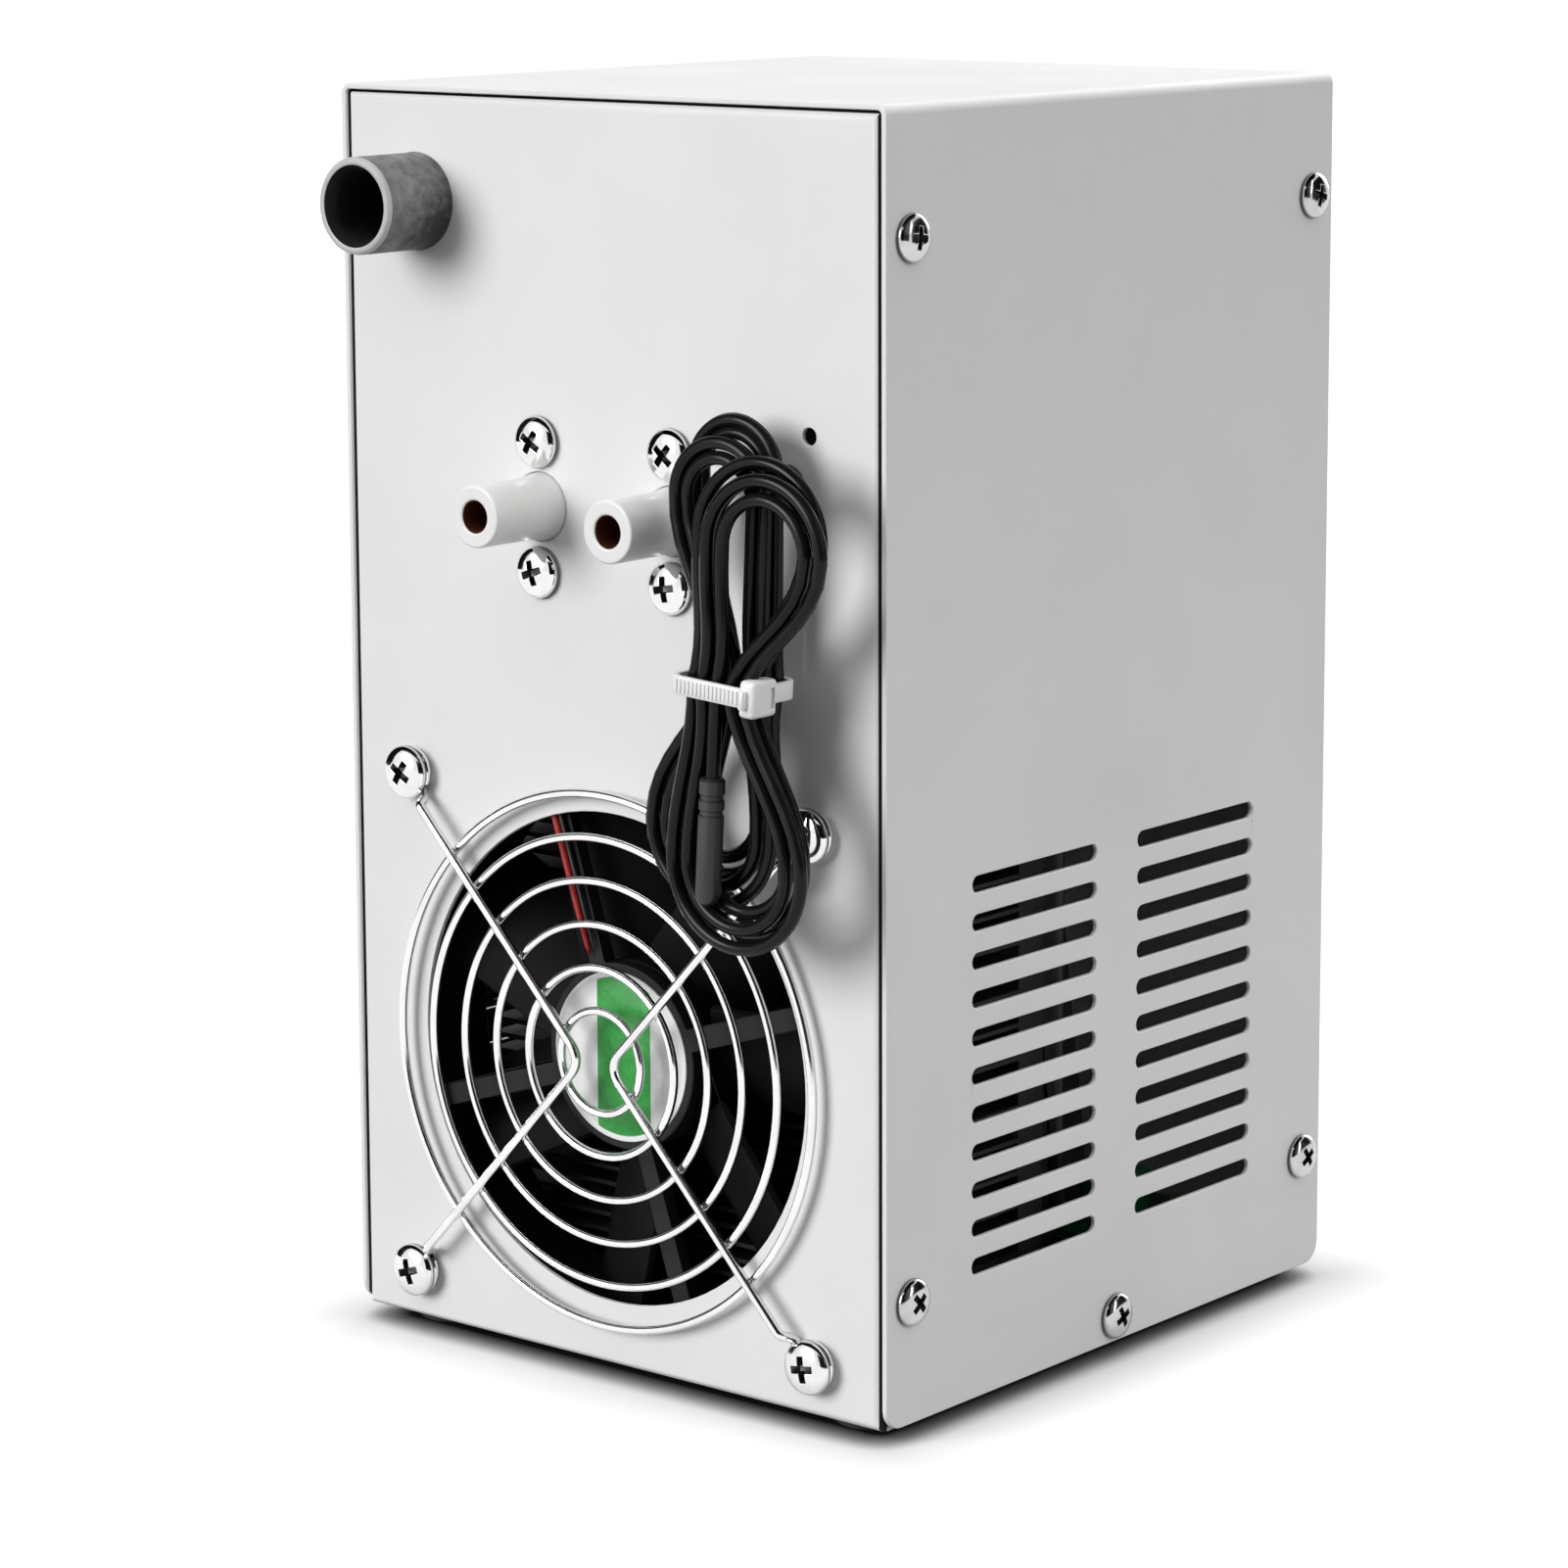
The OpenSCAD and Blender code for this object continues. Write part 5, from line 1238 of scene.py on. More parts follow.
@dataclass(frozen=True)
class CableTie:
    """A cable tie drawn tight: ribbed strap, head with its pawl, and a cut tail.

    Attributes:
        left: Left end of its opening.
        right: Right end of the opening.
        front: Front of the opening, away from the panel.
        back: Back of the opening.
        thick: Thickness of the strap.
        wide: Width of the strap.
        outer_r: Radius of the strap's corners outside.
        inner_r: Radius of its corners inside.
        edge: Rounding of the strap's edges.
        ribs: Number of ribs.
        rib_from: Distance from the opening's left end to the first rib.
        rib_pitch: Distance from rib to rib.
        rib: Corners of a rib in millimetres, from its middle on the strap's front.
        head: Width, depth and height of the head.
        head_in: How far the head reaches over the middle of the strap's right side.
        head_out: How far it stands out before the strap.
        slit: Corners of the slit in millimetres, from the head's far edge.
        pawl: Corners of the pawl from there.
        tail: Corners of the cut tail in millimetres, from the head's near edge.
    """

    left: float
    right: float
    front: float
    back: float
    thick: float = 1.2 * MM
    wide: float = 3.7 * MM
    outer_r: float = 3.0 * MM
    inner_r: float = 1.9 * MM
    edge: float = 0.25 * MM
    ribs: int = 16
    rib_from: float = 1.3 * MM
    rib_pitch: float = 0.98 * MM
    rib: Box = ((-0.28, -0.24, -1.3), (0.28, 0.1, 1.3))
    head: Point = (3.8 * MM, 7.2 * MM, 7.2 * MM)
    head_in: float = 1.1 * MM
    head_out: float = 0.4 * MM
    slit: Box = ((-0.9, -2.3, -2.0), (1.0, -0.9, 2.0))
    pawl: Box = ((-1.3, -2.0, -1.6), (-0.35, -1.3, 1.6))
    tail: Box = ((1.0, -1.3, -1.75), (2.2, 1.0, 1.75))

    @staticmethod
    def plug(name: str, low: Point, high: Point, radius: float, segments: int) -> Piece:
        """Models a block with its upright edges rounded.

        Args:
            name: Its name.
            low: Lowest corner.
            high: Highest corner.
            radius: Radius of the upright edges.
            segments: Faces across an edge.

        Returns:
            The block.
        """
        piece = Bench.block(name, low, high, SHARP, 1)
        least = (high[2] - low[2]) / 2
        Bench.open_up(piece)
        Bench.pick(piece, "edges", lambda e: abs(e.verts[0].co.z - e.verts[1].co.z) > least)
        bpy.ops.mesh.bevel(offset=radius, offset_type="OFFSET", segments=segments, affect="EDGES")
        return Bench.close_up(piece, 0.02 * MM)

    def strap(self) -> Piece:
        """Models the strap as a rounded block with a rounded hole."""
        half, thick = self.wide / 2, self.thick
        low, high = (self.left - thick, self.front - thick), (self.right + thick, self.back + thick)
        strap = self.plug("strap", (*low, -half), (*high, half), self.outer_r, 8)
        low, high = (self.left, self.front), (self.right, self.back)
        hole = self.plug("hole", (*low, -self.wide), (*high, self.wide), self.inner_r, 6)
        Bench.carve(strap, hole)
        return Bench.modify(strap, "BEVEL", width=self.edge, segments=2, limit_method="ANGLE",
                            use_clamp_overlap=False)

    def model(self, name: str) -> Piece:
        """Models the whole tie.

        Args:
            name: Its name.

        Returns:
            The tie, in the hank's frame.
        """
        parts = [self.strap()]
        origin, face = (0.0, 0.0, 0.0), self.front - self.thick
        spots = [self.left + self.rib_from + i * self.rib_pitch for i in range(self.ribs)]
        places = [Matrix.Translation(Vector((x, face, 0.0))) for x in spots]
        parts.append(Bench.spread(Bench.block_at("rib", origin, self.rib, 0.1 * MM, 1), "ribs", places))
        width, depth, height = self.head
        near = (self.right + self.thick / 2 - self.head_in, face - self.head_out, 0.0)
        far = (near[0] + width, near[1] + depth, 0.0)
        low, high = (near[0], near[1], -height / 2), (far[0], far[1], height / 2)
        head = Bench.block("head", low, high, 0.95 * MM, 4)
        parts.append(Bench.carve(head, Bench.block_at("slit", far, self.slit, 0.2 * MM)))
        parts.append(Bench.block_at("pawl", far, self.pawl, 0.2 * MM))
        parts.append(Bench.block_at("tail", near, self.tail, 0.3 * MM))
        return Bench.join(name, parts)


@dataclass(frozen=True)
class Fold:
    """How one fold of the hank hangs.

    Attributes:
        shift: Its sideways shift in millimetres.
        rise: Its rise in millimetres.
        width: Its width as a share of the tidy fold's.
    """

    shift: float
    rise: float
    width: float


@dataclass
class SensorLead:
    """The probe's cord: out of the panel, into a tied hank, and on to the probe.

    Attributes:
        diameter: The cord's diameter.
        waist: The hank's middle on the fan panel.
        lean: The hank's lean in degrees.
        stand: Depth of the first layer in front of the panel.
        loops: Number of loops.
        per_layer: Loops in a layer.
        layer_pitch: Distance from layer to layer.
        climb: Half the stretch in which the cord goes from layer to layer, in loops.
        step: Distance from loop to loop in a layer.
        fold_r: Radius of the outer fold.
        run_half: Half the length of a run.
        waist_half: Half the waist's width.
        run_parts: Parts of a loop in half a run.
        fold_parts: Parts of a loop in a fold.
        start: The part of a loop in which the hank starts.
        fine: Points for each loop.
        tail: Length of the last end below the waist.
        end_x: Where both ends enter the waist.
        tie_gap: Distance of the tie from the cord.
        probe_d: Diameter of the probe.
        probe_len: Length of the probe.
        crimps: How far the probe's upper end draws in and lies below its top, in millimetres.
        upper: How each layer's upper fold differs from the tidy one.
        lower: How each layer's lower fold differs.
        route: The cord's way out of the panel, in the hank's frame, in millimetres.
        way_in: Heights of its way into the waist, in millimetres.
        way_out: Heights of its last end.
    """

    diameter: float = 2.8 * MM
    waist: Point = (45.0 * MM, FACES.panel_y, 148.5 * MM)
    lean: float = 3.5
    stand: float = 9.0 * MM
    loops: int = 8
    per_layer: int = 2
    layer_pitch: float = 3.3 * MM
    climb: float = 1.0 / 12.0
    step: float = 3.5 * MM
    fold_r: float = 15.6 * MM
    run_half: float = 35.0 * MM
    waist_half: float = 7.75 * MM
    run_parts: int = 2
    fold_parts: int = 8
    start: int = 14
    fine: int = 96
    tail: float = 17.0 * MM
    end_x: float = -0.75 * MM
    tie_gap: float = 0.35 * MM
    probe_d: float = 5.0 * MM
    probe_len: float = 25.0 * MM
    crimps: tuple[Pair, ...] = (
        (0.0, 7.4), (0.3, 7.0), (0.3, 6.4), (0.0, 6.0), (0.0, 4.4), (0.3, 4.0), (0.3, 3.4), (0.0, 3.0),
        (0.0, 0.5), (0.4, 0.05), (1.0, 0.0), (2.5, 0.0),
    )
    upper: tuple[Fold, ...] = (
        Fold(-6.2, 4.2, 0.7), Fold(-7.7, -0.6, 0.85), Fold(6.0, -6.0, 1.0), Fold(8.5, -7.6, 1.06),
    )
    lower: tuple[Fold, ...] = (
        Fold(-7.0, 9.5, 1.0), Fold(-5.5, 6.0, 1.0), Fold(5.0, 2.6, 1.07), Fold(6.5, 1.9, 1.07),
    )
    route: tuple[Point, ...] = (
        (-0.75, -1.5, 37.0), (-0.75, -3.0, 37.0), (-0.75, -5.3, 36.5), (-0.75, -7.2, 35.2),
        (-0.75, -8.5, 33.3), (-0.75, -9.0, 31.0), (-0.75, -9.0, 29.5), (-0.75, -9.0, 28.0),
    )
    way_in: tuple[float, ...] = (25.2, 17.5)
    way_out: tuple[float, ...] = (-8.5, -14.2, -17.0)

    @property
    def frame(self) -> Matrix:
        """The hank's own frame: x across, y towards the panel, z up, from the waist."""
        return Matrix.Translation(Vector(self.waist)) @ Matrix.Rotation(math.radians(self.lean), 4, "Y")

    @property
    def layers(self) -> int:
        """Number of layers."""
        return self.loops // self.per_layer

    @property
    def last_y(self) -> float:
        """Depth of the last layer, in the hank's frame."""
        return -self.stand - (self.layers - 1) * self.layer_pitch

    @staticmethod
    def ease(share: float) -> float:
        """Smooth step from 0 to 1."""
        share = min(max(share, 0.0), 1.0)
        return share * share * (3.0 - 2.0 * share)

    def layer(self, turns: float) -> float:
        """Which layer the cord is in after so many loops, counted from 0."""
        since = (turns - self.per_layer * k + self.climb for k in range(1, self.layers))
        return sum(self.ease(turn / (2 * self.climb)) for turn in since)

    @staticmethod
    def between(folds: Sequence[Fold], layer: float) -> Fold:
        """Fold of a layer, or between two of them."""
        low = min(int(layer), len(folds) - 2)
        share, first, last = layer - low, folds[low], folds[low + 1]
        pairs = ((first.shift, last.shift), (first.rise, last.rise), (first.width, last.width))
        return Fold(*(a + (b - a) * share for a, b in pairs))

    def run_at(self, inset: float, z: float) -> float:
        """Distance of a run from the hank's middle at height z."""
        draw = self.fold_r - self.waist_half
        return self.fold_r - inset - draw * math.cos(math.pi / 2 * z / self.run_half) ** 2

    def fanned(self, point: Vector, turns: float) -> Vector:
        """Moves a point of the tidy hank to where its loop really hangs.

        Args:
            point: The point in the hank's frame.
            turns: How many loops lie before it.

        Returns:
            The moved point, in the same layer.
        """
        fold = self.between(self.upper if point.z > 0 else self.lower, self.layer(turns))
        reach = min(abs(point.z) / self.run_half, 1.0)
        share = 0.5 * self.ease(reach) + 0.5 * math.sin(math.pi / 2 * reach)
        over = point.z - math.copysign(self.run_half, point.z) if abs(point.z) > self.run_half else 0.0
        x = point.x * (1.0 + (fold.width - 1.0) * share) + fold.shift * MM * share
        z = point.z + over * (fold.width - 1.0) + fold.rise * MM * share
        return Vector((x, point.y, z))

    def loop_point(self, turns: float) -> Vector:
        """Point of the hank after so many loops.

        Args:
            turns: How many loops lie before it.

        Returns:
            The point in the hank's frame.
        """
        half = 2 * self.run_parts + self.fold_parts
        part = (turns * 2 * half + self.start) % (2 * half)
        inset = self.step * abs(self.per_layer - turns % (2 * self.per_layer))
        y = -self.stand - self.layer_pitch * self.layer(turns)
        down = part >= half
        u = part - half if down else part
        side = -1.0 if down else 1.0
        if u < 2 * self.run_parts:
            rise = self.run_half * (u / self.run_parts - 1)
            return self.fanned(Vector((side * self.run_at(inset, rise), y, side * rise)), turns)
        angle = math.pi * (u - 2 * self.run_parts) / self.fold_parts
        reach = self.fold_r - inset
        x, z = side * reach * math.cos(angle), side * (self.run_half + reach * math.sin(angle))
        return self.fanned(Vector((x, y, z)), turns)

    def path(self) -> list[Vector]:
        """The whole cord from the grommet to the probe, in the part's frame."""
        points = [Vector(p) * MM for p in self.route]
        points += [Vector((self.end_x, -self.stand, z * MM)) for z in self.way_in]
        points += [self.loop_point(i / self.fine) for i in range(self.loops * self.fine + 1)]
        points += [Vector((self.end_x, self.last_y, z * MM)) for z in self.way_out]
        return [self.frame @ p for p in points]

    def probe(self) -> Piece:
        """Models the probe: a rounded sleeve with two crimp grooves and a short neck."""
        radius, top, steps = self.probe_d / 2, -self.tail, 6
        low = top - self.probe_len
        angles = [math.pi / 2 * i / steps for i in range(steps + 1)]
        tip = [(radius * math.sin(a), low + radius * (1 - math.cos(a))) for a in angles]
        end = [(radius - draw * MM, top - below * MM) for draw, below in self.crimps]
        piece = Bench.turn("probe_sleeve", tip + end, 32)
        Bench.settle(piece, self.frame @ Matrix.Translation(Vector((self.end_x, self.last_y, 0.0))))
        return fit(Bench.smooth(piece), Finishes.PLASTIC, stands_for=("sensor_probe",))

    def tie(self) -> Piece:
        """Models the cable tie round the waist."""
        wall = self.diameter / 2 + self.tie_gap
        right = self.waist_half - self.step / 2 + wall
        tie = CableTie(-self.waist_half - wall, right, self.last_y - wall, wall - self.stand)
        piece = Bench.settle(tie.model("cable_tie_strap"), self.frame)
        return fit(Bench.smooth(piece, 30.0), Finishes.TIE, stands_for=("cable_tie",))

    def build(self) -> None:
        path = self.path()
        cord = Bench.tube("sensor_cord_loops", path, self.diameter / 2, 12)
        fit(cord, Finishes.CORD, stands_for=("sensor_cord", "sensor_hank"))
        self.tie()
        self.probe()


# Screws


@dataclass
class PanScrew:
    """A pan-head screw with a cross recess.

    Attributes:
        head_d: Head diameter.
        head_h: Head height.
        thread_d: Thread diameter.
        length: Length under the head.
        pitch: Thread pitch.
        flank_share: Height of the head's upright flank, as a share of its height.
        arm_share: Reach of the recess's arms, as a share of the head's radius.
    """

    head_d: float
    head_h: float
    thread_d: float
    length: float
    pitch: float = 0.8 * MM
    flank_share: float = 0.3
    arm_share: float = 0.54

    @classmethod
    def of(cls, head_d: float, head_h: float, thread_d: float, length: float) -> "PanScrew":
        """Makes a screw from its four sizes in millimetres."""
        return cls(head_d * MM, head_h * MM, thread_d * MM, length * MM)

    def dome(self, reach: float) -> float:
        """Height of the head at a distance from its axis."""
        flank, share = self.flank_share * self.head_h, min(2 * reach / self.head_d, 1.0)
        return flank + (self.head_h - flank) * math.sqrt(1.0 - share ** 2.5)

    def profile(self) -> list[Pair]:
        """Outline of the threaded shank and the head, from the tip up."""
        r, h, t, pitch = self.head_d / 2, self.head_h, self.thread_d / 2, self.pitch
        shank = [(0.0, -self.length), (t * 0.7, -self.length), (t * 0.86, -self.length + pitch / 2)]
        for i in range(max(int(self.length / pitch) - 1, 1)):
            z = -self.length + pitch * (i + 0.8)
            shank += [(t, z), (t * 0.87, z + pitch / 2)]
        flank, steps = self.flank_share * h, 10
        under = [(t * 0.9, -0.02 * MM), (t, 0.0), (r - 0.7 * MM, 0.0), (r - 0.15 * MM, 0.35 * MM)]
        under += [(r, 0.5 * MM), (r, flank)]
        angles = [math.pi / 2 * i / steps for i in range(1, steps)]
        dome = [(r * math.cos(a) ** 0.8, flank + (h - flank) * math.sin(a)) for a in angles]
        return shank + under + dome + [(0.0, h)]

    def arm(self, turn: float) -> Piece:
        """Models one arm of the cross that cuts the recess, tapering downwards.

        Args:
            turn: Its turn in degrees.

        Returns:
            The arm.
        """
        r, h = self.head_d / 2, self.head_h
        reach, wide = r * self.arm_share, 0.145 * r + 0.01 * MM
        piece = Bench.block("arm", (-reach, -wide, h * 0.3), (reach, wide, h + 0.5 * MM), 0.04 * MM, 1)
        Bench.open_up(piece)
        Bench.pick(piece, "verts", lambda v: v.co.z < h * 0.35)
        bpy.ops.transform.resize(value=(0.6, 0.75, 1.0), center_override=(0.0, 0.0, h))
        Bench.close_up(piece)
        piece.data.transform(Matrix.Rotation(math.radians(turn), 4, "Z"))
        return piece

    def model(self, name: str, finish: Finish) -> Piece:
        """Models one screw with its head's seat on z = 0.

        Args:
            name: Its name.
            finish: Its finish.

        Returns:
            The screw.
        """
        piece = Bench.turn(name, self.profile(), 40)
        for arm in [self.arm(turn) for turn in (0.0, 90.0)]:
            Bench.carve(piece, arm)
        Bench.modify(piece, "BEVEL", width=0.07 * MM, segments=2, limit_method="ANGLE",
                     angle_limit=math.radians(50.0), use_clamp_overlap=False)
        Bench.close_up(piece, outward=False)
        cross, flank, core = 0.56 * self.head_d / 2, 0.98 * self.flank_share * self.head_h, self.thread_d / 2

        def sunk(middle: Vector) -> bool:
            """Whether a point lies in the recess."""
            reach = math.hypot(middle.x, middle.y)
            return reach < cross and 0 < middle.z < self.dome(reach) - 0.12 * MM

        def low(middle: Vector) -> bool:
            """Whether a point lies on the head's flank or under it."""
            return -0.1 * MM < middle.z < flank and math.hypot(middle.x, middle.y) > core

        # Painted shade: the cross recess and the head's flank take dark copies of the nickel
        mark(Bench.smooth(piece, 35.0), finish, Finishes.RECESS_SHADE, sunk)
        return mark(piece, finish, Finishes.FLANK_SHADE, low)


@dataclass
class Screws:
    """All screws of the chiller, each kind modelled once and copied to its places.

    Attributes:
        row_y: Distance of the cover's outer screws from the case's middle.
        rows_z: Heights of those screws.
        mid_z: Height of the middle screw of each side.
        fan: Half the distance between the guard's screws, and the height of their middle.
        eye: Thickness of the guard's eye under a head.
        stub: Distance of the stub screws from the middle, half their distance and middle height.
        clamp: The same of the clamp screws.
        clamp_y: Where their heads seat.
        bracket_x: Distance of the bracket screws from the middle.
        bracket_yz: Where the short ones and the long ones seat.
    """

    row_y: float = 67.5 * MM
    rows_z: Pair = (28.0 * MM, 233.0 * MM)
    mid_z: float = 9.0 * MM
    fan: Pair = (52.5 * MM, 66.3 * MM)
    eye: float = 1.82 * MM
    stub: Point = (17.25 * MM, 13.0 * MM, 176.0 * MM)
    clamp: Point = (24.5 * MM, 40.5 * MM, 66.3 * MM)
    clamp_y: float = 18.05 * MM
    bracket_x: float = 46.0 * MM
    bracket_yz: tuple[Pair, Pair] = (
        (6.25 * MM, 6.2 * MM), (0.25 * MM, 24.2 * MM),
    )

    @staticmethod
    def turned(places: Iterable[Matrix], step: float = 41.0) -> list[Matrix]:
        """Turns each place's screw by another angle, as they stop where they are tight."""
        first = 17.0
        return [p @ Matrix.Rotation(math.radians(step * i + first), 4, "Z") for i, p in enumerate(places)]

    @staticmethod
    def corners(x: float, half: float, middle: float) -> list[Pair]:
        """Four places left and right of the middle, below and above a height."""
        return [(i * x, middle + j * half) for i in (-1, 1) for j in (-1, 1)]

    def put(self, screw: PanScrew, name: str, node: str, finish: Finish, places: Iterable[Matrix]) -> Piece:
        """Models one kind of screw and puts it at its places.

        Args:
            screw: Its sizes.
            name: Name of the set.
            node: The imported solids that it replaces.
            finish: Its finish.
            places: Its places.

        Returns:
            The set of screws.
        """
        piece = Bench.spread(screw.model(name, finish), name, self.turned(places))
        return fit(Bench.settle(piece), finish, stands_for=(node,))

    def brackets(self) -> Piece:
        """Models the bracket screws: two short ones in the base and two long ones in the heat sink."""
        up, out = (0.0, 0.0, 1.0), (0.0, 1.0, 0.0)
        (base_y, base_z), (sink_y, sink_z) = self.bracket_yz
        low = [facing((x * self.bracket_x, base_y, base_z), up, out) for x in (-1, 1)]
        high = [facing((x * self.bracket_x, sink_y, sink_z), out) for x in (-1, 1)]
        short = PanScrew.of(5.6, 1.8, 3.0, 3.2).model("short", Finishes.ZINC)
        short = Bench.spread(short, "short", self.turned(low, 30.0))
        long = PanScrew.of(5.6, 1.8, 3.0, 8.0).model("long", Finishes.ZINC)
        long = Bench.spread(long, "long", self.turned(high, 52.0))
        piece = Bench.join("bracket_screw_set", [short, long])
        return fit(Bench.settle(piece), Finishes.ZINC, stands_for=("bracket_screws",))

    def build(self) -> None:
        """Models every kind of screw."""
        rows = [(y, z) for y in (-self.row_y, self.row_y) for z in self.rows_z] + [(0.0, self.mid_z)]
        sides = [FACES.on_side(side, y, z) for side in (-1, 1) for y, z in rows]
        guard = [FACES.on_fan_panel(x, z, self.eye) for x, z in self.corners(self.fan[0], *self.fan)]
        stubs = [FACES.on_fan_panel(x, z) for x, z in self.corners(*self.stub)]
        clamps = [facing((x, self.clamp_y, z), (0.0, 1.0, 0.0)) for x, z in self.corners(*self.clamp)]
        cover_screw, guard_screw = PanScrew.of(9.4, 2.4, 4.0, 8.0), PanScrew.of(11.0, 3.0, 4.2, 16.0)
        stub_screw, clamp_screw = PanScrew.of(10.5, 3.0, 5.0, 8.2), PanScrew.of(7.0, 2.6, 4.0, 25.8)
        # The cover screws on the sides take the darker copy of the nickel, as painted shade
        self.put(cover_screw, "cover_screw_set", "cover_screws", Finishes.SHADED_NICKEL, sides)
        self.put(guard_screw, "guard_screw_set", "guard_screws", Finishes.NICKEL, guard)
        self.put(stub_screw, "stub_screw_set", "stub_screws", Finishes.NICKEL, stubs)
        self.put(clamp_screw, "clamp_screw_set", "clamp_screws", Finishes.ZINC, clamps)
        self.brackets()


# Case


@dataclass
class CaseShell:
    """Chassis, cover, rivet nuts and feet.

    Attributes:
        sheet_edge: Rounding of the sheets' cut edges.
        foot_x: Distance of the feet from the middle, across.
        foot_y: Distance of the feet from the middle, along.
        foot_profile: Radius and height of a foot's rings, in millimetres.
        seam: Depth of the chassis's upper bend under the cover, which is painted dark as shade.
        flank: Width of its right bend beside the cover, which is painted dark as shade.
        panel: Depth of the chassis's bends behind the panel's face.
        sheet: Thickness of the sheets.
        lip: Depth of the cover's rim, which stays white before the painted shade of its inner side starts.
    """

    sheet_edge: float = 0.28 * MM
    foot_x: float = 56.0 * MM
    foot_y: float = 61.0 * MM
    foot_profile: tuple[Pair, ...] = (
        (0.0, 0.5), (3.2, 0.5), (3.8, 0.0), (7.4, 0.0), (7.85, 0.2), (8.0, 0.6), (7.7, 2.5), (7.2, 3.0),
        (2.5, 3.0), (2.5, 4.2), (2.9, 4.2), (2.9, 5.0), (2.2, 5.8), (0.0, 5.8),
    )
    seam: float = 0.35 * MM
    flank: float = 0.75 * MM
    panel: float = 2.0 * MM
    sheet: float = 1.2 * MM
    lip: float = 0.7 * MM

    def feet(self) -> Piece:
        """Models the four feet: a dished sole, a soft rim, and a stem with a collar."""
        piece = Bench.turn("foot_set", in_mm(self.foot_profile), 40)
        spots = [(x * self.foot_x, FACES.mid_y + y * self.foot_y, 0.0) for x in (-1, 1) for y in (-1, 1)]
        piece = Bench.spread(piece, "foot_set", [Matrix.Translation(Vector(spot)) for spot in spots])
        return fit(Bench.smooth(piece), Finishes.RUBBER, stands_for=("rubber_feet",))

    def chassis(self) -> Piece:
        """Softens the chassis and paints shade on its bends beside the cover."""
        low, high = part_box("chassis")
        behind, top, right = low.y + self.panel, high.z - self.seam, high.x - self.flank
        piece = Bench.soften("chassis", "chassis_sheet", self.sheet_edge)
        # Painted shade on the upper and right bends, in the gap under and beside the cover
        mark(piece, Finishes.POWDER, Finishes.SEAM_SHADE, lambda p: p.z > top and p.y < behind)
        mark(piece, Finishes.POWDER, Finishes.SEAM_SHADE, lambda p: p.x > right and p.y < behind)
        return fit(piece, Finishes.POWDER, stands_for=("chassis",))

    def cover(self) -> Piece:
        """Softens the cover and paints shade on its inner side behind the rim."""
        low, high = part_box("cover")
        wall, rim = 0.8 * self.sheet, low.y + self.lip

        def inner(middle: Vector) -> bool:
            """Whether a point lies on the cover's inner side, behind its rim."""
            return low.x + wall < middle.x < high.x - wall and middle.z < high.z - wall and middle.y > rim

        piece = Bench.soften("cover", "cover_sheet", self.sheet_edge)
        Bench.split_at(piece, (0.0, rim, 0.0), (0.0, 1.0, 0.0))
        # Painted shade on the cover's inner side, which is also seen through the slots and the gap at its
        # edge
        mark(piece, Finishes.POWDER, Finishes.INSIDE_SHADE, inner)
        return fit(piece, Finishes.POWDER, stands_for=("cover",))

    def build(self) -> None:
        """Models the case's pieces."""
        self.chassis()
        self.cover()
        dress("rivet_nuts", "rivet_nut_set", 0.3, Finishes.ZINC)
        self.feet()


# Fan


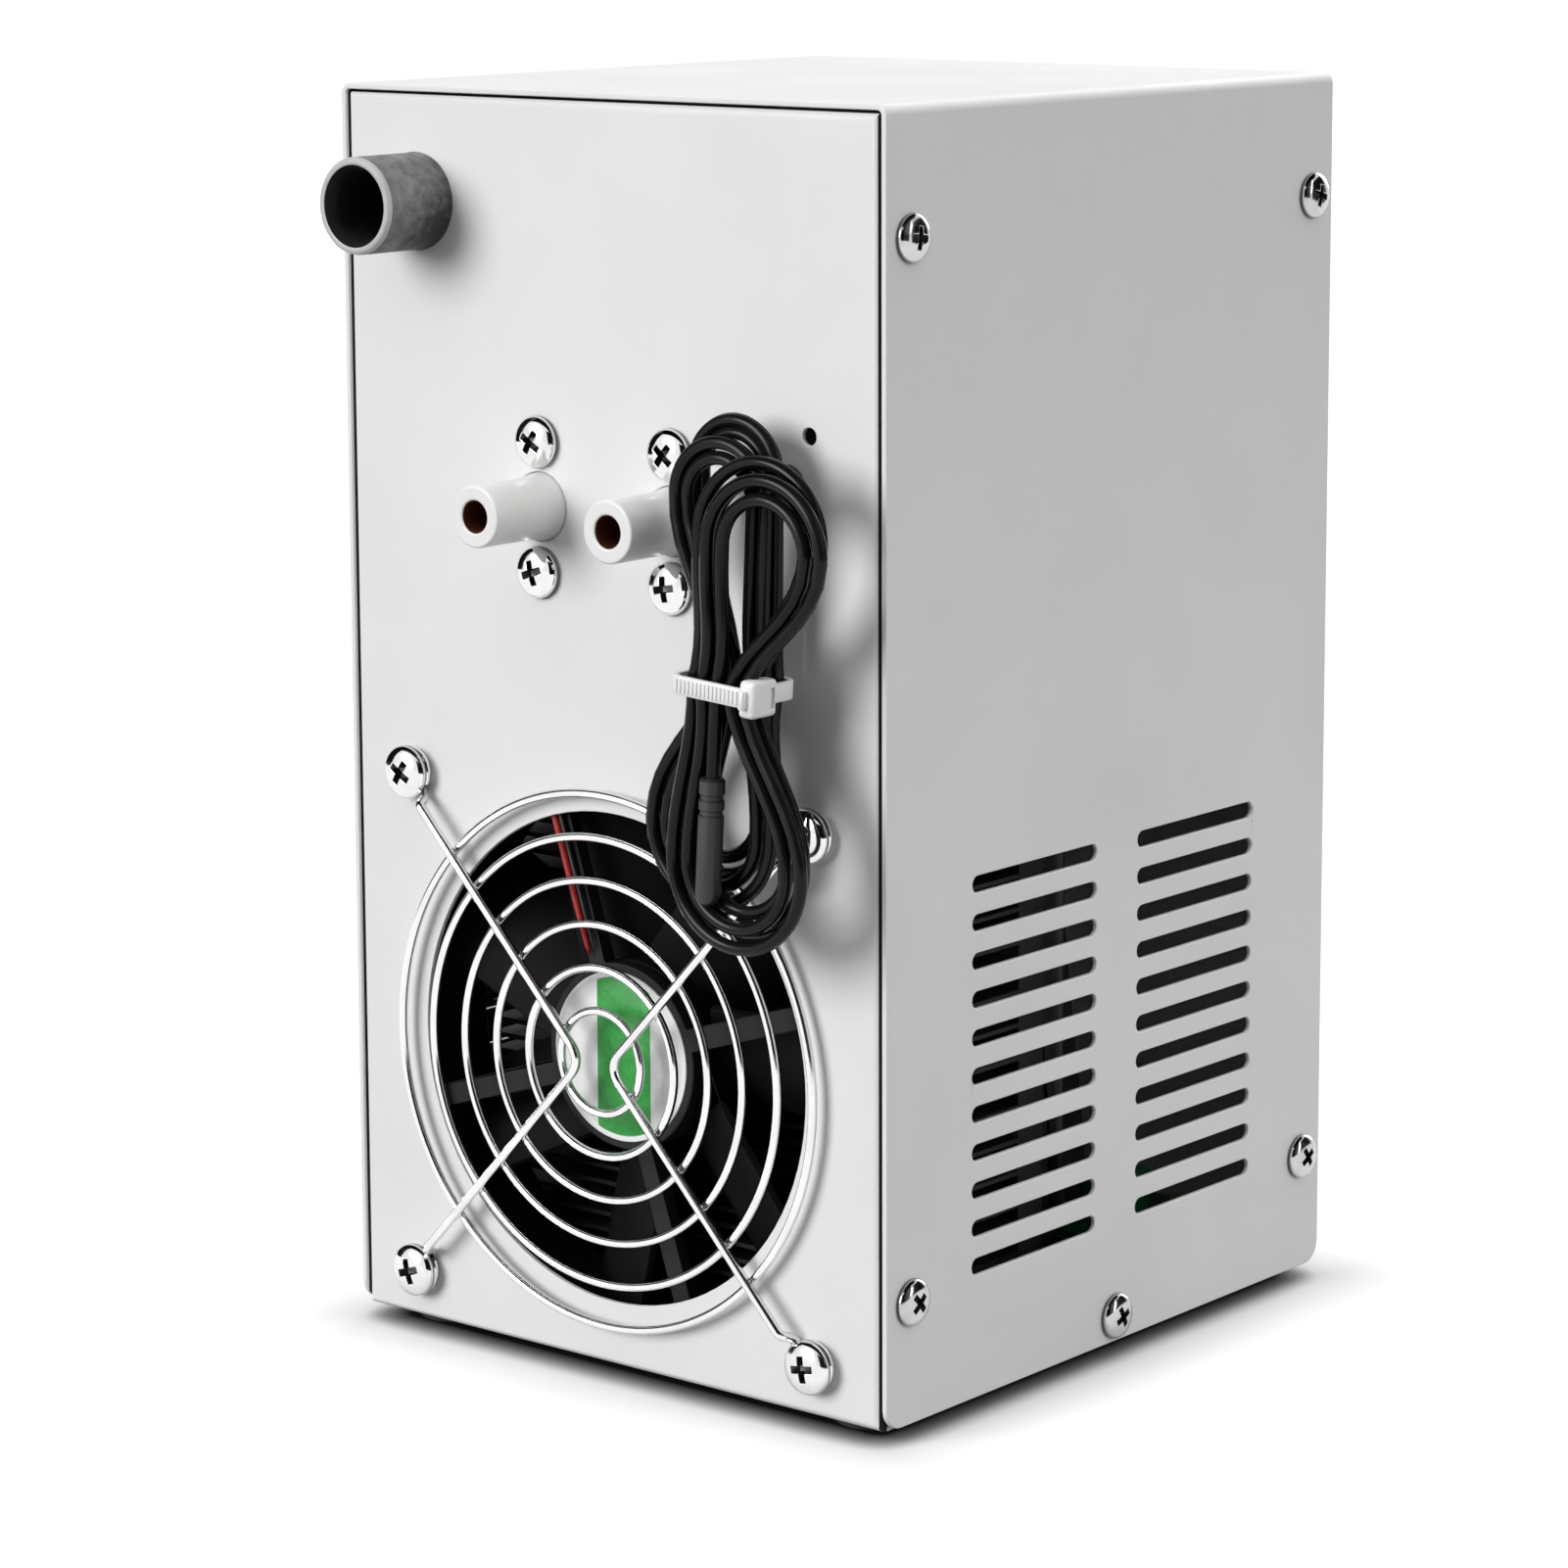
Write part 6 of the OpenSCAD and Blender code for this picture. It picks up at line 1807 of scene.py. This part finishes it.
@dataclass
class FanGuard:
    """Wire guard: rings, two V-shaped spokes with eyes, and a weld at each crossing.

    Attributes:
        axis_z: Height of the fan's axis.
        first_r: Radius of the inner ring.
        ring_pitch: Distance from ring to ring.
        rings: Number of rings.
        ring_wire: Radius of the rings' wire.
        spoke_wire: Radius of the spokes' wire.
        stand: Height of the rings above the panel.
        half: Half the distance between the screws.
        gap: Distance of the spokes' bends from the axis.
        press: How deep the spokes are pressed into the rings.
        eye_z: Height of the eyes above the panel.
        eye_r: Radius of the eyes.
        eye_turn: How far an eye goes round, in degrees.
        step: Length of the step at a spoke's end.
        step_shares: How far along its step a spoke is, and how far down.
        bend: Distance from a spoke's corner to where its bend ends.
        bead_r: Radius of a weld.
        bead_z: Height of the welds above the rings' middle.
        bead_shares: The weld's length, width and height as shares of its ball's.
    """

    axis_z: float = 66.3 * MM
    first_r: float = 10.4 * MM
    ring_pitch: float = 8.76 * MM
    rings: int = 6
    ring_wire: float = 0.88 * MM
    spoke_wire: float = 1.0 * MM
    stand: float = 2.9 * MM
    half: float = 52.5 * MM
    gap: float = 3.5 * MM
    press: float = 0.158 * MM
    eye_z: float = 0.95 * MM
    eye_r: float = 4.2 * MM
    eye_turn: float = 342.0
    step: float = 4.6 * MM
    step_shares: tuple[Pair, ...] = (
        (0.0, 0.0), (0.12, 0.04), (0.25, 0.2), (0.38, 0.5), (0.5, 0.72), (0.65, 0.84), (0.8, 0.97),
        (0.92, 1.0),
    )
    bend: float = 4.5 * MM
    bead_r: float = 0.85 * MM
    bead_z: float = 0.75 * MM
    bead_shares: Point = (1.15, 0.95, 0.5)

    @property
    def spoke_z(self) -> float:
        """Height of the spokes above the panel."""
        return self.stand + self.ring_wire + self.spoke_wire - self.press

    @property
    def run(self) -> Vector:
        """Direction of the upper right half spoke from its bend to its screw."""
        return Vector((self.half - self.gap, self.half, 0.0)).normalized()

    def limb(self, side: int, up: int) -> list[Vector]:
        """Centreline of half a spoke, from its bend to round its screw.

        Args:
            side: -1 for the left spoke, 1 for the right one.
            up: -1 for the lower half, 1 for the upper one.

        Returns:
            Points on the fan panel, z outwards.
        """
        eye, run = Vector((self.half, self.half, self.eye_z)), self.run
        low = eye - self.eye_r * run
        high = low - self.step * run
        high.z = self.spoke_z
        bend = Vector((self.gap, 0.0, self.spoke_z)) + run * self.bend
        fall = Vector((0.0, 0.0, low.z - high.z))
        steps = [high + run * (self.step * along) + fall * down for along, down in self.step_shares]
        start = math.degrees(math.atan2(-run.y, -run.x))
        around = arc(eye, self.eye_r, start, start + self.eye_turn, 26)
        return [Vector((side * p.x, up * p.y, p.z)) for p in [bend, *steps, *around]]

    def spokes(self) -> list[Piece]:
        """Models both V-shaped wires, each one wire from eye to eye."""
        made = []
        for side in (-1, 1):
            upper, lower = self.limb(side, 1), self.limb(side, -1)
            middle = Vector((side * self.gap, 0.0, self.spoke_z))
            shares = [i / 10 for i in range(1, 10)]
            tip = [lower[0] * (1 - t) ** 2 + middle * 2 * t * (1 - t) + upper[0] * t * t for t in shares]
            made.append(Bench.tube("spoke", lower[::-1] + tip + upper, self.spoke_wire, 12))
        return made

    def ring_set(self) -> list[Piece]:
        """Models the rings."""
        made = []
        for i in range(self.rings):
            Bench.deselect()
            bpy.ops.mesh.primitive_torus_add(
                major_radius=self.first_r + i * self.ring_pitch, minor_radius=self.ring_wire,
                major_segments=64 + 16 * i, minor_segments=12, location=(0.0, 0.0, self.stand),
            )
            made.append(Bench.smooth(Bench.settle(Bench.fresh("ring")), 60.0))
        return made

    def welds(self) -> Piece:
        """Models the flattened welds where the spokes cross the rings."""
        Bench.deselect()
        bpy.ops.mesh.primitive_uv_sphere_add(segments=14, ring_count=8, radius=self.bead_r)
        bead = Bench.fresh("bead")
        Bench.open_up(bead)
        bpy.ops.transform.resize(value=self.bead_shares, center_override=(0.0, 0.0, 0.0))
        Bench.close_up(bead)
        places, run, height = [], self.run, self.stand + self.bead_z
        for i in range(self.rings):
            r = self.first_r + i * self.ring_pitch
            reach = -self.gap * run.x + math.sqrt(max(r * r - (self.gap * run.y) ** 2, 0.0))
            x, y = self.gap + run.x * reach, run.y * reach
            for sx, sy in ((-1, -1), (-1, 1), (1, -1), (1, 1)):
                spot = Matrix.Translation(Vector((sx * x, sy * y, height)))
                places.append(spot @ Matrix.Rotation(math.atan2(sy * y, sx * x), 4, "Z"))
        return Bench.smooth(Bench.spread(bead, "welds", places), 60.0)

    def build(self) -> None:
        """Models the guard as one welded piece."""
        piece = Bench.join("guard_wires", self.ring_set() + self.spokes() + [self.welds()])
        Bench.settle(piece, FACES.on_fan_panel(0.0, self.axis_z))
        fit(piece, Finishes.WIRE, stands_for=("fan_guard",))


@dataclass
class Fan:
    """Frame, rotor, label and the motor inside the hub.

    Attributes:
        axis_z: Height of the fan's axis.
        label_r: Radius of the label.
        label_t: Thickness of the label.
    """

    axis_z: float = 66.3 * MM
    label_r: float = 17.3 * MM
    label_t: float = 0.3 * MM

    def label(self) -> Piece:
        """Models the label: a thin film with a rolled rim, on the hub's plate."""
        r, t = self.label_r, self.label_t
        groove, shoulder = 0.8 * t, 0.7 * t
        profile = [(0.0, 0.0), (r, 0.0), (r, shoulder), (r - 0.1 * MM, t), (r - 1.1 * MM, t)]
        profile += [(r - 1.25 * MM, groove), (r - 1.45 * MM, groove), (r - 1.6 * MM, t), (0.0, t)]
        piece = Bench.turn("label_film", profile, 96)
        low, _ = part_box("fan_label")
        plate = Matrix.Translation(Vector((0.0, low.y + t, self.axis_z)))
        Bench.settle(piece, plate @ facing((0.0, 0.0, 0.0), (0.0, -1.0, 0.0)))
        film = LabelFilm("label_green", (0.8, 0.8, 0.8), (0.1, 0.4, 0.1), 0.3, Grain.MOULDED,
                         centre=(0.0, low.y, self.axis_z), radius=r)
        return fit(Bench.smooth(piece), film, stands_for=("fan_label",))

    def build(self) -> None:
        """Models the fan's pieces."""
        dress("fan_frame", "fan_housing", 0.4, Finishes.FAN)
        dress("fan_rotor", "fan_wheel", 0.25, Finishes.SHADED_BLADES, "rotor")
        dress("fan_shaft", "rotor_shaft", 0.15, Finishes.STEEL, "rotor")
        dress("fan_magnet", "rotor_magnet", 0.2, Finishes.MAGNET, "rotor")
        dress("fan_bearings", "shaft_bearings", 0.15, Finishes.BRONZE)
        dress("fan_stator", "motor_windings", 0.3, Finishes.WINDING)
        self.label()


# Leads


@dataclass
class Leads:
    """Leads inside the case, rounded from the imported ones.

    Attributes:
        levels: Rounds of subdivision.
        swell: How much the red fan lead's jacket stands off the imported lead.
    """

    levels: int = 2
    swell: float = 0.35 * MM

    def round_off(self, node: str, name: str, finish: Finish, swell: float) -> Piece:
        """Rounds one faceted lead by subdivision.

        Args:
            node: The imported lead.
            name: The new piece's name.
            finish: Its finish.
            swell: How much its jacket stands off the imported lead.

        Returns:
            The round lead.
        """
        piece = Bench.lift(node, name)
        Bench.modify(piece, "SUBSURF", levels=self.levels, render_levels=self.levels)
        Bench.open_up(piece)
        bpy.ops.transform.shrink_fatten(value=swell)
        Bench.close_up(piece)
        return fit(Bench.smooth(piece, 60.0), finish, stands_for=(node,))

    def build(self) -> None:
        """Rounds every lead."""
        self.round_off("fan_lead_red", "fan_wire_red", Finishes.RED, self.swell)
        self.round_off("fan_lead_black", "fan_wire_black", Finishes.BLACK, 0.0)
        self.round_off("module_lead_red", "module_wire_red", Finishes.RED, 0.0)
        for node in ("module_lead_black", "control_lead", "power_lead", "sensor_lead"):
            self.round_off(node, node.replace("lead", "wire"), Finishes.BLACK, 0.0)


# Panel fittings


@dataclass
class PanelFittings:
    """Hose stubs, power sleeve, power socket and the cord's grommet.

    Attributes:
        sleeve_x: Where the sleeve stands, across.
        sleeve_z: Its height.
        sleeve_profile: Radius and height of its rings, in millimetres.
        lip_from: Height at which its rolled mouth starts.
        mouth_r: Radius of its mouth.
        stub_x: Distance of the hose stubs from the middle.
        stub_z: Their height.
        stub_len: How far the bore of a stub is shaded.
        stub_bore: Radius within which a stub is its bore.
    """

    sleeve_x: float = -49.5 * MM
    sleeve_z: float = 235.0 * MM
    sleeve_profile: tuple[Pair, ...] = (
        (7.5, 0.0), (9.8, 0.0), (9.85, 0.25), (9.75, 0.8), (9.7, 2.0), (9.7, 11.0), (9.7, 17.0),
        (9.58, 17.55), (9.3, 17.9), (9.05, 18.0), (8.45, 18.0), (8.2, 17.9), (8.05, 17.65), (7.3, 15.6),
        (7.0, 15.0), (7.0, 1.5), (7.5, 1.5), (7.5, 0.0),
    )
    lip_from: float = 16.95 * MM
    mouth_r: float = 8.15 * MM
    stub_x: float = 17.25 * MM
    stub_z: float = 176.0 * MM
    # stub_len: How far into a stub's bore the painted shade reaches.
    stub_len: float = 18.6 * MM
    stub_bore: float = 3.5 * MM

    def sleeve(self) -> Piece:
        """Models the sleeve: rolled mouth, barrel widening to its foot, and a stepped seat."""
        piece = Bench.smooth(Bench.turn("power_inlet_sleeve", in_mm(self.sleeve_profile), 72))
        mouth = self.mouth_r
        # Painted light on the rolled mouth and painted shade in the bore
        mark(piece, Finishes.SLEEVE, Finishes.SLEEVE_LIT_LIP, lambda p: p.z > self.lip_from)
        mark(piece, Finishes.SLEEVE, Finishes.SLEEVE_BORE_SHADE, lambda p: math.hypot(p.x, p.y) < mouth and p.z > 0)
        Bench.settle(piece, FACES.on_fan_panel(self.sleeve_x, self.sleeve_z))
        return fit(piece, Finishes.SLEEVE, stands_for=("power_sleeve",))

    def stub(self, node: str, name: str, x: float) -> Piece:
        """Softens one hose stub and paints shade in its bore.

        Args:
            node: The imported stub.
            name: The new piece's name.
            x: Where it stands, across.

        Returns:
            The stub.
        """
        piece = Bench.soften(node, name, 0.55 * MM, 3)

        def inside(middle: Vector) -> bool:
            """Whether a point lies in the bore."""
            out = FACES.panel_y - middle.y
            return math.hypot(middle.x - x, middle.z - self.stub_z) < self.stub_bore and out < self.stub_len

        # Painted shade in the bore
        mark(piece, Finishes.STUB, Finishes.STUB_BORE_SHADE, inside)
        return fit(piece, Finishes.STUB, stands_for=(node,))

    def build(self) -> None:
        """Models the fittings."""
        self.sleeve()
        dress("power_socket", "power_jack", 0.25, Finishes.PLASTIC)
        dress("socket_nut", "jack_nut", 0.25, Finishes.ZINC)
        self.stub("hose_stub_left", "left_stub", -self.stub_x)
        self.stub("hose_stub_right", "right_stub", self.stub_x)
        dress("stub_nuts", "stub_nut_set", 0.3, Finishes.ZINC)
        dress("cord_grommet", "panel_grommet", 0.4, Finishes.RUBBER, segments=3)


# Cooling core and electrics


@dataclass
class CoolingCore:
    """Heat sink, modules, water block, insulation, hoses and brackets.

    Attributes:
        edge: Rounding of the plain metal and foam edges, in millimetres.
    """

    edge: float = 0.3

    def build(self) -> None:
        """Softens and dresses the core's solids."""
        dress("heat_sink", "finned_sink", 0.12, Finishes.DARK_ALUMINIUM)
        dress("sink_brackets", "bracket_pair", self.edge, Finishes.ZINC)
        dress("thermo_modules", "module_pair", self.edge, Finishes.CERAMIC)
        dress("module_gasket", "foam_gasket", self.edge, Finishes.FOAM)
        dress("water_block", "drilled_block", 0.4, Finishes.ALUMINIUM)
        dress("block_nipples", "nipple_pair", self.edge, Finishes.ZINC)
        dress("insulation_cap", "foam_cap", 0.8, Finishes.FOAM)
        dress("inner_hoses", "hose_pair", self.edge, Finishes.HOSE)
        dress("hose_clips", "clip_set", 0.15, Finishes.ZINC)


@dataclass
class Electrics:
    """Power board with its parts.

    Attributes:
        edge: Rounding of the standoffs' and the terminals' edges, in millimetres.
    """

    edge: float = 0.3

    def build(self) -> None:
        """Softens and dresses the board's solids."""
        dress("power_board", "main_board", 0.15, Finishes.BOARD)
        dress("board_standoffs", "standoff_set", self.edge, Finishes.BRASS)
        dress("board_relay", "relay_case", 0.6, Finishes.RELAY)
        dress("board_capacitor", "capacitor_can", 0.7, Finishes.CAPACITOR)
        dress("board_terminals", "terminal_block", self.edge, Finishes.TERMINAL)


# Thermostat


class Symbol(Enum):
    """Signs on the push buttons."""

    POWER = "power"
    SET = "set"
    UP = "up"
    DOWN = "down"


@dataclass
class Thermostat:
    """Thermostat in the front panel: housing, window, display and four buttons.

    Attributes:
        z: Height of its middle.
        key_x: Middles of the two columns of buttons from the bezel's middle.
        key_z: Distance of their rows from there.
        key_top: Height of a button above the panel.
        sign_t: Thickness of the sign on a button.
        sink: How deep a sign is set into its button.
        face: Height of the display's face above the panel.
        figures: Middles of the three figures.
        point: Middle of the decimal point.
        segment: Length of a display segment.
        spread: Distance from segment to segment, as a share of that length.
        stroke: Width of a display segment.
        keys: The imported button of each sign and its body.
    """

    z: float = 203.0 * MM
    key_x: Pair = (15.75 * MM, 28.25 * MM)
    key_z: float = 6.5 * MM
    key_top: float = 4.9 * MM
    sign_t: float = 0.18 * MM
    sink: float = 0.03 * MM
    face: float = 1.75 * MM
    figures: Point = (-24.0 * MM, -13.0 * MM, -2.0 * MM)
    point: float = -9.4 * MM
    segment: float = 3.6 * MM
    spread: float = 1.12
    stroke: float = 0.75 * MM
    keys: ClassVar[dict[Symbol, tuple[str, str]]] = {
        Symbol.SET: ("button_set", "set_key"),
        Symbol.POWER: ("button_power", "power_key"),
        Symbol.DOWN: ("button_down", "down_key"),
        Symbol.UP: ("button_up", "up_key"),
    }

    @staticmethod
    def bar(name: str, middle: Pair, size: Pair, upright: bool = False) -> Piece:
        """Models one display segment with pointed ends, lying on z = 0.

        Args:
            name: Its name.
            middle: Its middle, across and up.
            size: Its length and width.
            upright: Whether it stands.

        Returns:
            The segment.
        """
        long, wide = size[0] / 2, size[1] / 2
        piece = Bench.block(name, (-long, -wide, 0.0), (long, wide, 0.15 * MM), 0.02 * MM, 1)
        Bench.open_up(piece)
        Bench.pick(piece, "verts", lambda v: abs(v.co.x) > long - 0.05 * MM)
        bpy.ops.transform.resize(value=(1.0, 0.2, 1.0), center_override=(0.0, 0.0, 0.0))
        Bench.close_up(piece, MERGE / 2)
        turn = Matrix.Rotation(math.radians(90.0 if upright else 0.0), 4, "Z")
        piece.data.transform(Matrix.Translation(Vector((*middle, 0.0))) @ turn)
        return piece

    def digits(self) -> Piece:
        """Models the unlit display: its block with three figures and a point on its face."""
        block = Bench.soften("digit_display", "display_block", 0.3 * MM)
        s, size = self.segment * self.spread, (self.segment * 0.95, self.stroke)
        lying = [(0.0, s), (0.0, 0.0), (0.0, -s)]
        upright = [(-s / 2, s / 2), (s / 2, s / 2), (-s / 2, -s / 2), (s / 2, -s / 2)]
        parts = []
        for x in self.figures:
            parts += [self.bar("segment", (x + dx, dy), size) for dx, dy in lying]
            parts += [self.bar("segment", (x + dx, dy), size, True) for dx, dy in upright]
        parts.append(self.bar("point", (self.point, -s), (0.9 * MM, 0.9 * MM)))
        figures = Bench.join("display_figures", parts)
        fit(Bench.settle(figures, FACES.on_front_panel(0.0, self.z, self.face)), Finishes.KEY_RED)
        return fit(block, Finishes.DIGITS, stands_for=("digit_display",))

    def sign(self, symbol: Symbol) -> Piece:
        """Models the raised sign of one button, lying on z = 0.

        Args:
            symbol: Which sign.

        Returns:
            The sign.
        """
        name, t = f"sign_{symbol.value}", self.sign_t
        if symbol in (Symbol.UP, Symbol.DOWN):
            Bench.deselect()
            bpy.ops.mesh.primitive_cone_add(
                vertices=3, radius1=2.1 * MM, radius2=1.95 * MM, depth=t, location=(0.0, 0.0, t / 2),
            )
            piece = Bench.settle(Bench.fresh(name))
            if symbol is Symbol.DOWN:
                piece.data.transform(Matrix.Rotation(math.pi, 4, "Z"))
            return piece
        ring = [(1.35 * MM, 0.0), (1.9 * MM, 0.0), (1.85 * MM, t), (1.4 * MM, t), (1.35 * MM, 0.0)]
        loop = Bench.turn(name, ring, 32)
        if symbol is Symbol.SET:
            dot = Bench.turn("dot", [(0.0, 0.0), (0.6 * MM, 0.0), (0.5 * MM, t), (0.0, t)], 20)
            return Bench.join(name, [loop, dot])
        gap = Bench.block("gap", (-0.55 * MM, 0.6 * MM, -MM), (0.55 * MM, 3.0 * MM, MM), 0.05 * MM, 1)
        Bench.carve(loop, gap)
        stroke = Bench.block("stroke", (-0.22 * MM, 0.5 * MM, 0.0), (0.22 * MM, 2.2 * MM, t), 0.05 * MM, 1)
        return Bench.join(name, [loop, stroke])

    def buttons(self) -> None:
        """Models the four buttons with their signs."""
        spots = [(x, y) for y in (self.key_z, -self.key_z) for x in self.key_x]
        for (symbol, (node, body)), (x, y) in zip(self.keys.items(), spots):
            finish = Finishes.KEY_RED if symbol is Symbol.POWER else Finishes.KEY
            dress(node, f"{symbol.value}_button", 0.5, finish, body, 3)
            place = FACES.on_front_panel(x, self.z + y, self.key_top - self.sink)
            fit(Bench.smooth(Bench.settle(self.sign(symbol), place), 30.0), Finishes.TIE, body)

    def build(self) -> None:
        """Models the thermostat's pieces."""
        dress("thermostat_case", "thermostat_housing", 0.5, Finishes.PLASTIC, segments=3)
        dress("thermostat_clips", "clip_pair", 0.4, Finishes.PLASTIC)
        dress("display_window", "window_pane", 0.25, Finishes.WINDOW)
        dress("control_board", "key_board", 0.15, Finishes.BOARD)
        dress("key_switches", "switch_set", 0.2, Finishes.ZINC)
        self.digits()
        self.buttons()


def main() -> None:
    """Builds the camera, the cord, the studio and every sub-assembly."""
    logging.basicConfig(level=logging.INFO, format="%(name)s: %(message)s")
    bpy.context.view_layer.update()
    CameraRig().build()
    SensorLead().build()
    Studio().build()
    for assembly in (CaseShell(), Screws(), FanGuard(), Fan(), Leads(), PanelFittings(),
                     CoolingCore(), Electrics(), Thermostat()):
        LOG.info("building %s", type(assembly).__name__)
        assembly.build()


if __name__ == "__main__":
    main()
